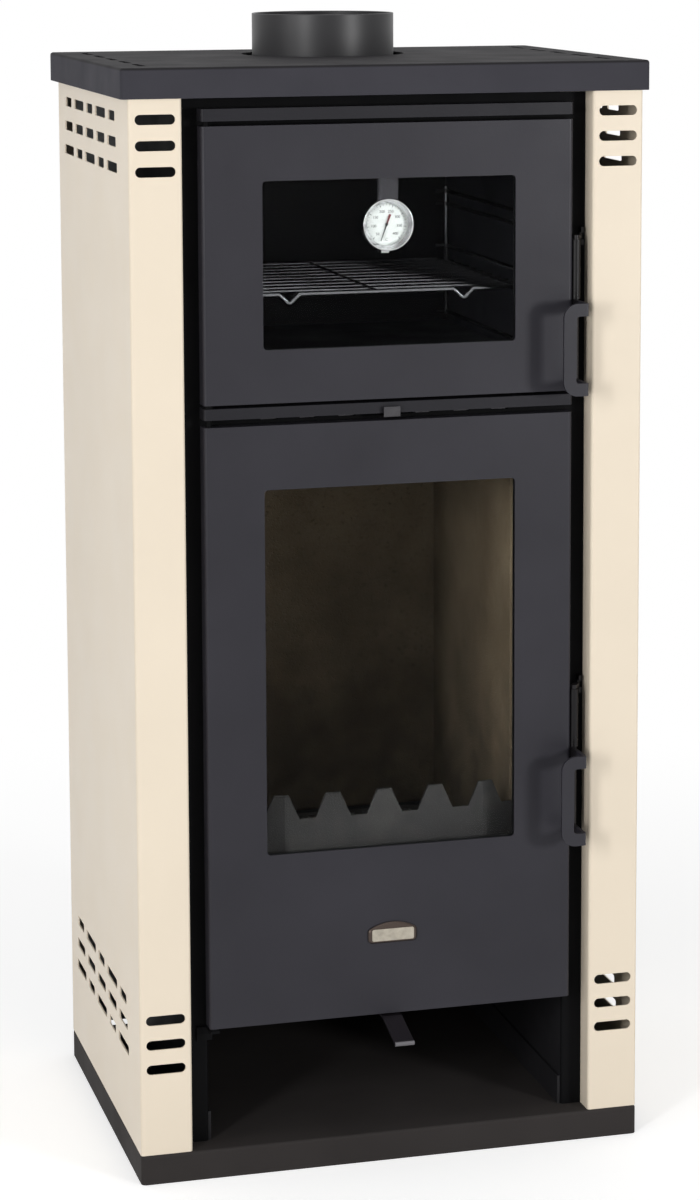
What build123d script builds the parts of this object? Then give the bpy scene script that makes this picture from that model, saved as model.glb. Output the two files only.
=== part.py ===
from build123d import *
import os
from math import atan2, cos, degrees, hypot, radians, sin, tan

os.makedirs("parts", exist_ok=True)

# A slim wood cookstove: log niche, firebox and oven one above the other, between two tall side casings.
# Millimetres. X runs to the right, Y to the back and Z up, and the doors face -Y. The origin is on the
# floor, in the middle of everything seen from above.

# Casing
case_width = 526.0
case_depth = 392.0
base_height = 30.0
rim_height = 30.0
top_overhang = 7.0
top_rear = 10.0
front_reach = 42.0
panel_face = 53.0
panel_set_back = 2.0
front_return = 27.0
rear_return = 20.0
base_lip = 20.0

# Sheet thicknesses, bends and clearances
casing_sheet = 1.5
plate_sheet = 2.0
body_sheet = 3.0
bend_radius = 3.0
corner_radius = 5.0
free_gap = 0.3
running_gap = 0.05

# Heights up the front
niche_height = 124.0
fire_door_height = 612.0
air_gap = 7.5
mid_rail_height = 11.0
oven_gap = 3.5
oven_door_height = 274.0
head_gap = 5.0
top_rail_height = 12.0
head_band = 9.0
rim_gap = 2.0

# Depths behind the front edge of the base
door_set_back = 5.0
door_thickness = 18.0
leaf_gap = 2.0
rear_gap = 14.0

# Widths beside and inside the doors
latch_room = 19.5
body_inset = 2.0
opening_inset = 30.0
seal_offset = 8.0
stile_width = 60.5

# Levels
z_hearth = base_height + niche_height
z_fire_top = z_hearth + fire_door_height
z_mid_rail = z_fire_top + air_gap
z_mid_top = z_mid_rail + mid_rail_height
z_oven = z_mid_top + oven_gap
z_oven_top = z_oven + oven_door_height
z_top_rail = z_oven_top + head_gap
z_head = z_top_rail + top_rail_height
z_body_top = z_head + head_band
z_rim = z_body_top + rim_gap
z_top = z_rim + rim_height

# Distances from the middle, measured sideways
x_case = case_width / 2
x_reveal = x_case - panel_face
x_door = x_reveal - latch_room
x_body = x_door - body_inset
x_shell = x_body + body_sheet
x_opening = x_body - opening_inset
x_seal = x_opening + seal_offset
x_window = x_door - stile_width

# Depth positions
y_front = (front_reach - case_depth - top_rear) / 2
y_panel = y_front + panel_set_back
y_door = y_front + door_set_back
y_leaf_back = y_door + door_thickness
y_sheet_back = y_door + plate_sheet
y_frame = y_leaf_back + leaf_gap
y_inside = y_frame + body_sheet
y_case_back = y_front + case_depth
y_shell_back = y_case_back - rear_gap
y_back = y_shell_back - body_sheet


def facing_front(y):
    """Plane that looks out of the stove's front at the given Y, with X across and Z up."""
    return Plane.XZ.offset(-y)


def block(xs, ys, zs, mode=Mode.ADD):
    """Plain block between two X, two Y and two Z positions."""
    with BuildSketch(Plane.XY.offset(min(zs))) as outline:
        with Locations((sum(xs) / 2, sum(ys) / 2)):
            Rectangle(abs(xs[1] - xs[0]), abs(ys[1] - ys[0]))
    extrude(outline.sketch, amount=abs(zs[1] - zs[0]), mode=mode)


def upright_panel(half_width, zs, ys, corner, mode=Mode.ADD):
    """Round-cornered panel facing the front, centred on X."""
    with BuildSketch(facing_front(max(ys))) as outline:
        with Locations((0, sum(zs) / 2)):
            RectangleRounded(2 * half_width, zs[1] - zs[0], corner)
    extrude(outline.sketch, amount=abs(ys[1] - ys[0]), mode=mode)


def upright_ring(half_width, zs, corner, inner, outer, ys):
    """Band that follows a round-cornered rectangle, from the inner to the outer distance off its line."""
    with BuildSketch(facing_front(max(ys))) as band:
        with Locations((0, sum(zs) / 2)):
            RectangleRounded(2 * (half_width + outer), zs[1] - zs[0] + 2 * outer, corner + outer)
            RectangleRounded(
                2 * (half_width + inner), zs[1] - zs[0] + 2 * inner, corner + inner, mode=Mode.SUBTRACT
            )
    extrude(band.sketch, amount=abs(ys[1] - ys[0]))


def rod(start, end, radius, mode=Mode.ADD):
    """Straight round bar between two points."""
    along = Vector(*end) - Vector(*start)
    with BuildSketch(Plane(origin=start, z_dir=along)) as section:
        Circle(radius)
    extrude(section.sketch, amount=along.length, mode=mode)


def tube_along(path, radius):
    """Round bar that follows a smooth line from its start."""
    with BuildSketch(Plane(origin=path @ 0, z_dir=path % 0)) as section:
        Circle(radius)
    sweep(section.sketch, path=path)


def evenly(first, last, count):
    """Positions spread evenly from the first to the last."""
    return [first + (last - first) * step / (count - 1) for step in range(count)]


# ---------------------------------------------------------------------------
# Casing: base plate, two side casings, top plate and rear shield
# ---------------------------------------------------------------------------
case_middle = (0, (y_front + y_case_back) / 2)
top_middle = (0, (y_front + y_case_back + top_rear) / 2)
top_width = case_width + 2 * top_overhang
top_depth = case_depth + top_rear

# Base plate: a folded tray upside down, with a lip turned in at the floor
with BuildPart() as base_plate:
    with BuildSketch():
        with Locations(case_middle):
            RectangleRounded(case_width, case_depth, corner_radius)
    extrude(amount=base_height)
    fillet(base_plate.faces().sort_by(Axis.Z)[-1].edges(), bend_radius)
    with BuildSketch(Plane.XY.offset(plate_sheet)):
        with Locations(case_middle):
            RectangleRounded(
                case_width - 2 * plate_sheet, case_depth - 2 * plate_sheet, corner_radius - plate_sheet
            )
    extrude(amount=base_height - 2 * plate_sheet, mode=Mode.SUBTRACT)
    with BuildSketch():
        with Locations(case_middle):
            Rectangle(case_width - 2 * base_lip, case_depth - 2 * base_lip)
    extrude(amount=plate_sheet, mode=Mode.SUBTRACT)
base_plate.part.label = "base_plate"
export_step(base_plate.part, "parts/base_plate.step")

# Screws that hold the rear shield on the casings' rear returns
screw_radius = 2.0
screw_head_radius = 4.0
screw_head_height = 2.0
socket_radius = 1.3
rear_shank = 8.0
rear_screw_margin = 60.0
rear_screw_rows = 4
x_rear_screw = x_case - rear_return / 2
rear_screw_levels = evenly(base_height + rear_screw_margin, z_rim - rear_screw_margin, rear_screw_rows)

# Side casings: a front face, a side wall and short returns, open towards the body. The convection
# slots come in three rows near the top and three near the foot.
slot_height = 10.0
slot_corner = 2.5
front_slot_length = 40.0
slot_pitch_up = 25.4
slot_top_drop = 20.0
slot_foot_rise = 88.8
slot_column_pitch = 60.0
slot_column_middle = 208.0
wide_slot = 54.0
middle_slot = 44.0
narrow_slot = 34.0
slot_columns = 5
casing_top = z_top - plate_sheet
top_slot_rows = [z_rim - slot_top_drop - slot_pitch_up * row for row in range(3)]
foot_slot_rows = [base_height + slot_foot_rise + slot_pitch_up * row for row in range(3)]


def side_wall_slot_lengths(row):
    """Lengths along one row: the outer rows alternate wide and narrow, the middle row is even."""
    if row == 1:
        return [middle_slot] * slot_columns
    first, second = (wide_slot, narrow_slot) if row == 0 else (narrow_slot, wide_slot)
    return [second if column % 2 == 0 else first for column in range(slot_columns)]


def side_casing(side):
    """Folded casing on one side: -1 is the left one and 1 the right one."""
    with BuildSketch(Plane.XY.offset(base_height)) as fold:
        with Locations((side * (x_case + x_reveal) / 2, (y_panel + y_case_back) / 2)):
            RectangleRounded(panel_face, y_case_back - y_panel, bend_radius)
            RectangleRounded(
                panel_face - 2 * casing_sheet,
                y_case_back - y_panel - 2 * casing_sheet,
                bend_radius - casing_sheet,
                mode=Mode.SUBTRACT,
            )
        with Locations((side * (x_reveal + bend_radius / 2), (y_panel + front_return + y_case_back) / 2)):
            Rectangle(bend_radius, y_case_back - y_panel - front_return, mode=Mode.SUBTRACT)
        with Locations((side * (x_case + x_reveal - rear_return) / 2, y_case_back - bend_radius / 2)):
            Rectangle(panel_face - rear_return, bend_radius, mode=Mode.SUBTRACT)
    extrude(fold.sketch, amount=casing_top - base_height)
    with BuildSketch(facing_front(y_panel + casing_sheet)) as front_slots:
        for level in top_slot_rows + foot_slot_rows:
            with Locations((side * (x_case + x_reveal) / 2, level)):
                SlotOverall(front_slot_length, slot_height)
    extrude(front_slots.sketch, amount=casing_sheet, mode=Mode.SUBTRACT)
    wall_plane = Plane.YZ.offset(min(side * x_case, side * (x_case - casing_sheet)))
    with BuildSketch(wall_plane) as wall_slots:
        for rows in (top_slot_rows, foot_slot_rows[::-1]):
            for row, level in enumerate(rows):
                for column, length in enumerate(side_wall_slot_lengths(row)):
                    along = (column - (slot_columns - 1) / 2) * slot_column_pitch
                    with Locations((y_front + slot_column_middle + along, level)):
                        RectangleRounded(length, slot_height, slot_corner)
    extrude(wall_slots.sketch, amount=casing_sheet, mode=Mode.SUBTRACT)
    for level in rear_screw_levels:
        start = (side * x_rear_screw, y_case_back - rear_shank, level)
        rod(start, (side * x_rear_screw, y_case_back, level), screw_radius, mode=Mode.SUBTRACT)


with BuildPart() as side_panel_left:
    side_casing(-1)
side_panel_left.part.label = "side_panel_left"
export_step(side_panel_left.part, "parts/side_panel_left.step")

with BuildPart() as side_panel_right:
    side_casing(1)
side_panel_right.part.label = "side_panel_right"
export_step(side_panel_right.part, "parts/side_panel_right.step")

# Top plate: folded rim, wide hole around the flue collar and a row of slots on either side
collar_radius = 75.0
collar_wall = 2.5
collar_rise = 43.0
collar_back = 269.0
collar_flange = 9.0
collar_hole_gap = 11.0
top_slot_length = 45.0
top_slot_width = 7.0
top_slot_pitch = 70.0
top_slot_edge = 30.0
top_slots_each_way = 2
x_top_slot = top_width / 2 - top_slot_edge
y_collar = y_front + collar_back

with BuildPart() as top_plate:
    with BuildSketch(Plane.XY.offset(z_rim)):
        with Locations(top_middle):
            RectangleRounded(top_width, top_depth, corner_radius)
    extrude(amount=rim_height)
    fillet(top_plate.faces().sort_by(Axis.Z)[-1].edges(), bend_radius)
    with BuildSketch(Plane.XY.offset(z_rim)):
        with Locations(top_middle):
            RectangleRounded(
                top_width - 2 * plate_sheet, top_depth - 2 * plate_sheet, corner_radius - plate_sheet
            )
    extrude(amount=rim_height - plate_sheet, mode=Mode.SUBTRACT)
    with BuildSketch(Plane.XY.offset(z_top - plate_sheet)):
        with Locations((0, y_collar)):
            Circle(collar_radius + collar_hole_gap)
        for side in (-1, 1):
            for step in range(-top_slots_each_way, top_slots_each_way + 1):
                with Locations((side * x_top_slot, top_middle[1] + step * top_slot_pitch)):
                    SlotOverall(top_slot_length, top_slot_width, rotation=90)
    extrude(amount=plate_sheet, mode=Mode.SUBTRACT)
top_plate.part.label = "top_plate"
export_step(top_plate.part, "parts/top_plate.step")

# Rear shield: a plain sheet over the casings' rear returns, with vents across it
shield_margin = 5.0
vent_length = 60.0
vent_height = 8.0
vent_pitch = 80.0
vent_rows = 4
vents_each_way = 2
z_shield_foot = base_height + shield_margin
z_shield_top = z_rim - shield_margin

with BuildPart() as rear_shield:
    upright_panel(
        x_case - shield_margin,
        (z_shield_foot, z_shield_top),
        (y_case_back, y_case_back + casing_sheet),
        corner_radius,
    )
    with BuildSketch(facing_front(y_case_back + casing_sheet)):
        for foot in (z_shield_foot + 2 * shield_margin, z_shield_top - 2 * shield_margin):
            toward = 1 if foot < z_mid_rail else -1
            for row in range(vent_rows):
                for column in range(-vents_each_way, vents_each_way + 1):
                    with Locations((column * vent_pitch, foot + toward * (row + 1) * slot_pitch_up)):
                        SlotOverall(vent_length, vent_height)
    extrude(amount=casing_sheet, mode=Mode.SUBTRACT)
    for side in (-1, 1):
        for level in rear_screw_levels:
            start = (side * x_rear_screw, y_case_back, level)
            end = (side * x_rear_screw, y_case_back + casing_sheet, level)
            rod(start, end, screw_radius, mode=Mode.SUBTRACT)
rear_shield.part.label = "rear_shield"
export_step(rear_shield.part, "parts/rear_shield.step")

with BuildPart() as rear_screws:
    for side in (-1, 1):
        for level in rear_screw_levels:
            seat = (side * x_rear_screw, y_case_back + casing_sheet, level)
            tail = (side * x_rear_screw, y_case_back - rear_shank, level)
            crown = (side * x_rear_screw, seat[1] + screw_head_height, level)
            rod(tail, seat, screw_radius)
            rod(seat, crown, screw_head_radius)
            rod((seat[0], seat[1] + screw_head_height / 2, level), crown, socket_radius, mode=Mode.SUBTRACT)
rear_screws.part.label = "rear_screws"
export_step(rear_screws.part, "parts/rear_screws.step")

# ---------------------------------------------------------------------------
# Body: welded sheet shell behind one front frame
# ---------------------------------------------------------------------------
firing_sill = 29.0
firing_head = 21.0
oven_floor_rise = 33.0
oven_head_drop = 32.0
opening_corner = 6.0
z_firing = z_hearth + firing_sill
z_firing_top = z_fire_top - firing_head
z_cavity = z_oven + oven_floor_rise
z_cavity_top = z_oven_top - oven_head_drop
air_slot_length = 18.0
air_slot_height = 3.0
air_slot_pitch = 40.0
air_slots_a_side = 3
air_slot_lap = 1.0
air_slot_rise = 3.0
tab_width = 17.0
tab_play = 1.0
air_travel = air_slot_length + air_slot_lap
air_slot_steps = [step for step in range(-air_slots_a_side, air_slots_a_side + 1) if step != 0]
z_air_slot = z_fire_top + air_slot_rise + air_slot_height / 2

with BuildPart() as front_frame:
    with BuildSketch(facing_front(y_inside)):
        with Locations((0, (base_height + z_body_top) / 2)):
            Rectangle(2 * (x_reveal - free_gap), z_body_top - base_height)
        with Locations((0, (base_height + z_hearth) / 2)):
            Rectangle(2 * x_body, z_hearth - base_height, mode=Mode.SUBTRACT)
        with Locations((0, (z_firing + z_firing_top) / 2)):
            RectangleRounded(2 * x_opening, z_firing_top - z_firing, opening_corner, mode=Mode.SUBTRACT)
        with Locations((0, (z_cavity + z_cavity_top) / 2)):
            RectangleRounded(2 * x_opening, z_cavity_top - z_cavity, opening_corner, mode=Mode.SUBTRACT)
        for step in air_slot_steps:
            with Locations((step * air_slot_pitch, z_air_slot)):
                SlotOverall(air_slot_length, air_slot_height, mode=Mode.SUBTRACT)
        with Locations((air_travel / 2, z_air_slot)):
            Rectangle(tab_width + air_travel + 2 * tab_play, air_slot_height, mode=Mode.SUBTRACT)
    extrude(amount=body_sheet)
    niche_edges = front_frame.edges().filter_by(Axis.Z).filter_by_position(Axis.Z, base_height, z_hearth)
    niche_edges = niche_edges.filter_by_position(Axis.Y, y_frame - free_gap, y_frame + free_gap)
    niche_edges = niche_edges.filter_by_position(Axis.X, -x_body - free_gap, x_body + free_gap)
    fillet(niche_edges, body_sheet - free_gap)
front_frame.part.label = "front_frame"
export_step(front_frame.part, "parts/front_frame.step")

# Foot rails: an angle on each side that lines the foot of the niche and carries the body's side
foot_rail_height = 30.0
foot_rail_flange = 14.0

with BuildPart() as foot_rails:
    for side in (-1, 1):
        inner_face = side * (x_body - body_sheet)
        block((inner_face, side * x_body), (y_inside, y_back), (base_height, base_height + foot_rail_height))
        block(
            (side * x_body, side * (x_shell + foot_rail_flange)),
            (y_inside, y_back),
            (base_height, base_height + body_sheet),
        )
foot_rails.part.label = "foot_rails"
export_step(foot_rails.part, "parts/foot_rails.step")

body_top_drop = 4.0
z_shell_foot = base_height + body_sheet
z_shell_top = z_body_top - body_top_drop

with BuildPart() as body_side_left:
    block((-x_shell, -x_body), (y_inside, y_back), (z_shell_foot, z_shell_top))
body_side_left.part.label = "body_side_left"
export_step(body_side_left.part, "parts/body_side_left.step")

with BuildPart() as body_side_right:
    block((x_body, x_shell), (y_inside, y_back), (z_shell_foot, z_shell_top))
body_side_right.part.label = "body_side_right"
export_step(body_side_right.part, "parts/body_side_right.step")

with BuildPart() as body_back:
    block((-x_shell, x_shell), (y_back, y_shell_back), (base_height, z_shell_top))
body_back.part.label = "body_back"
export_step(body_back.part, "parts/body_back.step")

with BuildPart() as body_top:
    block((-x_shell, x_shell), (y_inside, y_shell_back), (z_shell_top, z_shell_top + body_sheet))
    with BuildSketch(Plane.XY.offset(z_shell_top)):
        with Locations((0, y_collar)):
            Circle(collar_radius - collar_wall)
    extrude(amount=body_sheet, mode=Mode.SUBTRACT)
body_top.part.label = "body_top"
export_step(body_top.part, "parts/body_top.step")

# Flue collar: a short round tube with a flange welded to the body's top, free of the top plate
collar_edge = 0.8
z_collar_foot = z_shell_top + body_sheet
z_collar_top = z_top + collar_rise

with BuildPart() as flue_collar:
    with BuildSketch(Plane.XY.offset(z_collar_foot)):
        with Locations((0, y_collar)):
            Circle(collar_radius)
            Circle(collar_radius - collar_wall, mode=Mode.SUBTRACT)
    extrude(amount=z_collar_top - z_collar_foot)
    with BuildSketch(Plane.XY.offset(z_collar_foot)):
        with Locations((0, y_collar)):
            Circle(collar_radius + collar_flange)
            Circle(collar_radius - collar_wall, mode=Mode.SUBTRACT)
    extrude(amount=body_sheet)
    fillet(flue_collar.edges().sort_by(Axis.Z)[-2:], collar_edge)
flue_collar.part.label = "flue_collar"
export_step(flue_collar.part, "parts/flue_collar.step")

# Hearth floor: the niche's ceiling, with the lower air inlet cut through it
inlet_width = 60.0
inlet_depth = 26.0
inlet_back = 150.0
y_inlet = y_front + inlet_back

with BuildPart() as hearth_floor:
    block((-x_body, x_body), (y_inside, y_back), (z_hearth, z_hearth + body_sheet))
    with BuildSketch(Plane.XY.offset(z_hearth)):
        with Locations((0, y_inlet)):
            RectangleRounded(inlet_width, inlet_depth, opening_corner)
    extrude(amount=body_sheet, mode=Mode.SUBTRACT)
hearth_floor.part.label = "hearth_floor"
export_step(hearth_floor.part, "parts/hearth_floor.step")

# Brackets that stand the side casings off the body
bracket_depth = 30.0
bracket_flange = 20.0
bracket_levels = (0.28, 0.72)
bracket_backs = (110.0, 290.0)

with BuildPart() as panel_brackets:
    for side in (-1, 1):
        near = side * x_shell
        far = side * (x_case - casing_sheet)
        for share in bracket_levels:
            level = base_height + share * (z_rim - base_height)
            for back in bracket_backs:
                ys = (y_front + back, y_front + back + bracket_depth)
                block((near, far), ys, (level, level + plate_sheet))
                block((near, near + side * plate_sheet), ys, (level - bracket_flange, level))
                block((far - side * plate_sheet, far), ys, (level - bracket_flange, level))
panel_brackets.part.label = "panel_brackets"
export_step(panel_brackets.part, "parts/panel_brackets.step")

# ---------------------------------------------------------------------------
# Rails above the two doors, the lug below them, and the hinge pins
# ---------------------------------------------------------------------------
hinge_inset = 6.0
hinge_behind_face = 7.0
pin_radius = 3.0
pin_reach = 4.0
pin_collar_radius = 5.0
pin_past_rail = 1.0
lug_drop = 2.5
lug_half = 5.5
lug_foot_reach = 16.0
lug_foot_height = 14.0
x_hinge = -x_door + hinge_inset
y_hinge = y_door + hinge_behind_face


def hinge_hole(z0, z1, radius):
    """Vertical hole on the hinge line."""
    rod((x_hinge, y_hinge, z0), (x_hinge, y_hinge, z1), radius, mode=Mode.SUBTRACT)


def rail(part, z0, z1):
    """Folded cross rail: a face with its four edges turned back to the frame."""
    block((-x_door, x_door), (y_door, y_frame), (z0, z1))
    fillet(part.edges().filter_by(Axis.Z).group_by(Axis.Y)[0], bend_radius)
    block(
        (-x_door + plate_sheet, x_door - plate_sheet),
        (y_sheet_back, y_frame),
        (z0 + plate_sheet, z1 - plate_sheet),
        mode=Mode.SUBTRACT,
    )


with BuildPart() as top_rail:
    rail(top_rail, z_top_rail, z_head)
    hinge_hole(z_top_rail, z_top_rail + plate_sheet, pin_radius)
top_rail.part.label = "top_rail"
export_step(top_rail.part, "parts/top_rail.step")

with BuildPart() as mid_rail:
    rail(mid_rail, z_mid_rail, z_mid_top)
    hinge_hole(z_mid_rail, z_mid_rail + plate_sheet, pin_radius)
    hinge_hole(z_mid_top - plate_sheet, z_mid_top, pin_radius)
mid_rail.part.label = "mid_rail"
export_step(mid_rail.part, "parts/mid_rail.step")

# Lug under the fire door: it stands out from the frame's left post and carries the lowest pin
z_lug_top = z_hearth - lug_drop

with BuildPart() as hinge_lug:
    block(
        (x_hinge - lug_half, x_hinge + lug_half),
        (y_hinge - lug_half, y_frame),
        (z_lug_top - body_sheet, z_lug_top),
    )
    fillet(hinge_lug.edges().filter_by(Axis.Z).group_by(Axis.Y)[0], bend_radius)
    block(
        (x_hinge - lug_foot_reach, x_hinge),
        (y_frame - body_sheet, y_frame),
        (z_lug_top - lug_foot_height, z_lug_top),
    )
    hinge_hole(z_lug_top - body_sheet, z_lug_top, pin_radius)
hinge_lug.part.label = "hinge_lug"
export_step(hinge_lug.part, "parts/hinge_lug.step")

# Hinge pins: the lower pin of each door has a collar that the door stands on
with BuildPart() as hinge_pins:
    for foot, head in (
        (z_lug_top - body_sheet, z_hearth + plate_sheet + pin_reach),
        (z_fire_top - plate_sheet - pin_reach, z_mid_rail + plate_sheet + pin_past_rail),
        (z_mid_top - plate_sheet - pin_past_rail, z_oven + plate_sheet + pin_reach),
        (z_oven_top - plate_sheet - pin_reach, z_top_rail + plate_sheet + pin_reach),
    ):
        rod((x_hinge, y_hinge, foot), (x_hinge, y_hinge, head), pin_radius)
    for foot, head in ((z_lug_top, z_hearth), (z_mid_top, z_oven)):
        rod((x_hinge, y_hinge, foot), (x_hinge, y_hinge, head), pin_collar_radius)
hinge_pins.part.label = "hinge_pins"
export_step(hinge_pins.part, "parts/hinge_pins.step")

# ---------------------------------------------------------------------------
# Firebox: shelf, cast grate, firebricks, baffle, log guard, ash pan
# ---------------------------------------------------------------------------
shelf_rise = 94.0
grate_hole_width = 180.0
grate_hole_depth = 150.0
grate_lap = 10.0
grate_rim = 12.0
grate_height = 16.0
grate_bars = 8
grate_bar_width = 9.0
grate_edge = 1.5
brick_thickness = 50.0
brick_set_back = 19.0
brick_chamfer = 3.0
brick_head_gap = 5.0
z_shelf = z_firing + shelf_rise
z_grate = z_shelf + body_sheet
z_brick_top = z_firing_top - brick_head_gap
y_brick = y_inside + brick_set_back
y_grate = (y_inside + y_back - brick_thickness) / 2
x_brick = x_body - brick_thickness

with BuildPart() as firebed:
    block((-x_body, x_body), (y_inside, y_back), (z_shelf, z_grate))
    with BuildSketch(Plane.XY.offset(z_shelf)):
        with Locations((0, y_grate)):
            Rectangle(grate_hole_width, grate_hole_depth)
    extrude(amount=body_sheet, mode=Mode.SUBTRACT)
firebed.part.label = "firebed"
export_step(firebed.part, "parts/firebed.step")

with BuildPart() as grate:
    with BuildSketch(Plane.XY.offset(z_grate)):
        with Locations((0, y_grate)):
            RectangleRounded(
                grate_hole_width + 2 * grate_lap, grate_hole_depth + 2 * grate_lap, opening_corner
            )
            Rectangle(
                grate_hole_width + 2 * (grate_lap - grate_rim),
                grate_hole_depth + 2 * (grate_lap - grate_rim),
                mode=Mode.SUBTRACT,
            )
        for x_bar in evenly(-grate_hole_width / 2, grate_hole_width / 2, grate_bars + 2)[1:-1]:
            with Locations((x_bar, y_grate)):
                Rectangle(grate_bar_width, grate_hole_depth)
    extrude(amount=grate_height)
    fillet(grate.faces().sort_by(Axis.Z)[-1].edges(), grate_edge)
grate.part.label = "grate"
export_step(grate.part, "parts/grate.step")


def brick(xs, ys):
    """Upright firebrick slab that stands on the firebed."""
    block(xs, ys, (z_grate, z_brick_top))


with BuildPart() as firebrick_left:
    brick((-x_body, -x_brick), (y_brick, y_back))
    chamfer(firebrick_left.edges().filter_by(Axis.Z).group_by(Axis.Y)[0], brick_chamfer)
firebrick_left.part.label = "firebrick_left"
export_step(firebrick_left.part, "parts/firebrick_left.step")

with BuildPart() as firebrick_right:
    brick((x_brick, x_body), (y_brick, y_back))
    chamfer(firebrick_right.edges().filter_by(Axis.Z).group_by(Axis.Y)[0], brick_chamfer)
firebrick_right.part.label = "firebrick_right"
export_step(firebrick_right.part, "parts/firebrick_right.step")

with BuildPart() as firebrick_back:
    brick((-x_brick, x_brick), (y_back - brick_thickness, y_back))
    chamfer(firebrick_back.faces().sort_by(Axis.Y)[0].edges().filter_by(Axis.X), brick_chamfer)
firebrick_back.part.label = "firebrick_back"
export_step(firebrick_back.part, "parts/firebrick_back.step")

# Baffle: lies on the bricks and leaves the smoke a way up at the front
baffle_thickness = 25.0
baffle_front = 120.0

with BuildPart() as baffle:
    block(
        (-x_body + free_gap, x_body - free_gap),
        (y_front + baffle_front, y_back - free_gap),
        (z_brick_top, z_brick_top + baffle_thickness),
    )
    chamfer(baffle.faces().sort_by(Axis.Y)[0].edges().filter_by(Axis.X), brick_chamfer)
baffle.part.label = "baffle"
export_step(baffle.part, "parts/baffle.step")

# Log guard: upright plate behind the glass with five teeth, its ends bent a little towards the bricks
guard_front = 6.0
guard_brick_lap = 5.6
guard_wing = 40.0
guard_bend = 12.0
guard_top_rise = 227.5
guard_tooth_depth = 25.0
guard_tooth_pitch = 54.0
guard_tooth_width = 15.0
guard_valley_width = 17.0
y_guard = y_inside + guard_front
z_guard_top = z_hearth + guard_top_rise
guard_flat = x_brick + guard_brick_lap - guard_wing * cos(radians(guard_bend))
wing_x = guard_flat + guard_wing * cos(radians(guard_bend))
wing_y = y_guard + guard_wing * sin(radians(guard_bend))
y_guard_back = wing_y + body_sheet

with BuildPart() as log_guard:
    with BuildSketch(Plane.XY.offset(z_grate)):
        with BuildLine():
            guard_line = Polyline(
                (-wing_x, wing_y), (-guard_flat, y_guard), (guard_flat, y_guard), (wing_x, wing_y)
            )
            offset(guard_line, amount=body_sheet, side=Side.LEFT)
        make_face()
    extrude(amount=z_guard_top - z_grate)
    with BuildSketch(facing_front(y_guard_back)):
        half_tooth = guard_tooth_width / 2
        slope = (guard_tooth_pitch - guard_tooth_width - guard_valley_width) / 2
        z_valley = z_guard_top - guard_tooth_depth
        for step in range(-3, 3):
            left = step * guard_tooth_pitch + half_tooth
            right = left + guard_tooth_pitch - guard_tooth_width
            with BuildLine():
                Polyline(
                    (left, z_guard_top), (left + slope, z_valley), (right - slope, z_valley),
                    (right, z_guard_top), close=True,
                )
            make_face()
    extrude(amount=y_guard_back - y_guard, mode=Mode.SUBTRACT)
log_guard.part.label = "log_guard"
export_step(log_guard.part, "parts/log_guard.step")

# Ash pan on its two runners
runner_x = 95.0
runner_width = 20.0
pan_half = 115.0
pan_front = 62.0
pan_height = 52.0
pan_corner = 8.0
pan_grip_width = 70.0
pan_grip_drop = 12.0
pan_back_lap = 15.0
pan_rise = 4.0
runner_end_gap = 5.0
y_pan = y_front + pan_front
y_pan_back = y_back - brick_thickness + pan_back_lap
z_pan = z_firing + pan_rise

with BuildPart() as ash_pan_runners:
    for side in (-1, 1):
        inner = side * (runner_x - runner_width / 2)
        outer = side * (runner_x + runner_width / 2)
        ys = (y_inside + runner_end_gap, y_back - runner_end_gap)
        floor = z_hearth + body_sheet
        block((inner, outer), ys, (z_pan - plate_sheet, z_pan))
        block((outer - side * plate_sheet, outer), ys, (floor, z_pan))
        block((outer, outer + side * runner_width), ys, (floor, floor + plate_sheet))
ash_pan_runners.part.label = "ash_pan_runners"
export_step(ash_pan_runners.part, "parts/ash_pan_runners.step")

with BuildPart() as ash_pan:
    with BuildSketch(Plane.XY.offset(z_pan)):
        with Locations((0, (y_pan + y_pan_back) / 2)):
            RectangleRounded(2 * pan_half, y_pan_back - y_pan, pan_corner)
    extrude(amount=pan_height)
    with BuildSketch(Plane.XY.offset(z_pan + plate_sheet)):
        with Locations((0, (y_pan + y_pan_back) / 2)):
            RectangleRounded(
                2 * (pan_half - plate_sheet), y_pan_back - y_pan - 2 * plate_sheet, pan_corner - plate_sheet
            )
    extrude(amount=pan_height - plate_sheet, mode=Mode.SUBTRACT)
    block(
        (-pan_grip_width / 2, pan_grip_width / 2),
        (y_pan - pan_grip_drop, y_pan),
        (z_pan + pan_height - plate_sheet, z_pan + pan_height),
    )
    block(
        (-pan_grip_width / 2, pan_grip_width / 2),
        (y_pan - pan_grip_drop, y_pan - pan_grip_drop + plate_sheet),
        (z_pan + pan_height - pan_grip_drop, z_pan + pan_height),
    )
ash_pan.part.label = "ash_pan"
export_step(ash_pan.part, "parts/ash_pan.step")

# ---------------------------------------------------------------------------
# Air controls
# ---------------------------------------------------------------------------
# Upper air: a slider with a bent tab runs behind the frame's slots, on the ledge of a duct
duct_depth = 30.0
duct_drop = 8.0
duct_height = 38.0
ledge_depth = 6.0
ledge_lip = 4.0
slider_web = 4.0
slider_height = 18.0
tab_rise = 10.5
tab_forward = 3.0
tab_edge = 1.0
x_slider_right = air_slots_a_side * air_slot_pitch + air_slot_length / 2 + slider_web
x_slider_left = -x_slider_right - air_travel
duct_half = x_slider_right + air_travel + free_gap + plate_sheet
y_slider = y_inside + free_gap
y_slider_back = y_slider + casing_sheet
z_ledge = z_air_slot - duct_drop
z_duct_foot = z_ledge - plate_sheet
z_duct_top = z_duct_foot + duct_height
y_duct = y_inside + duct_depth

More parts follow.
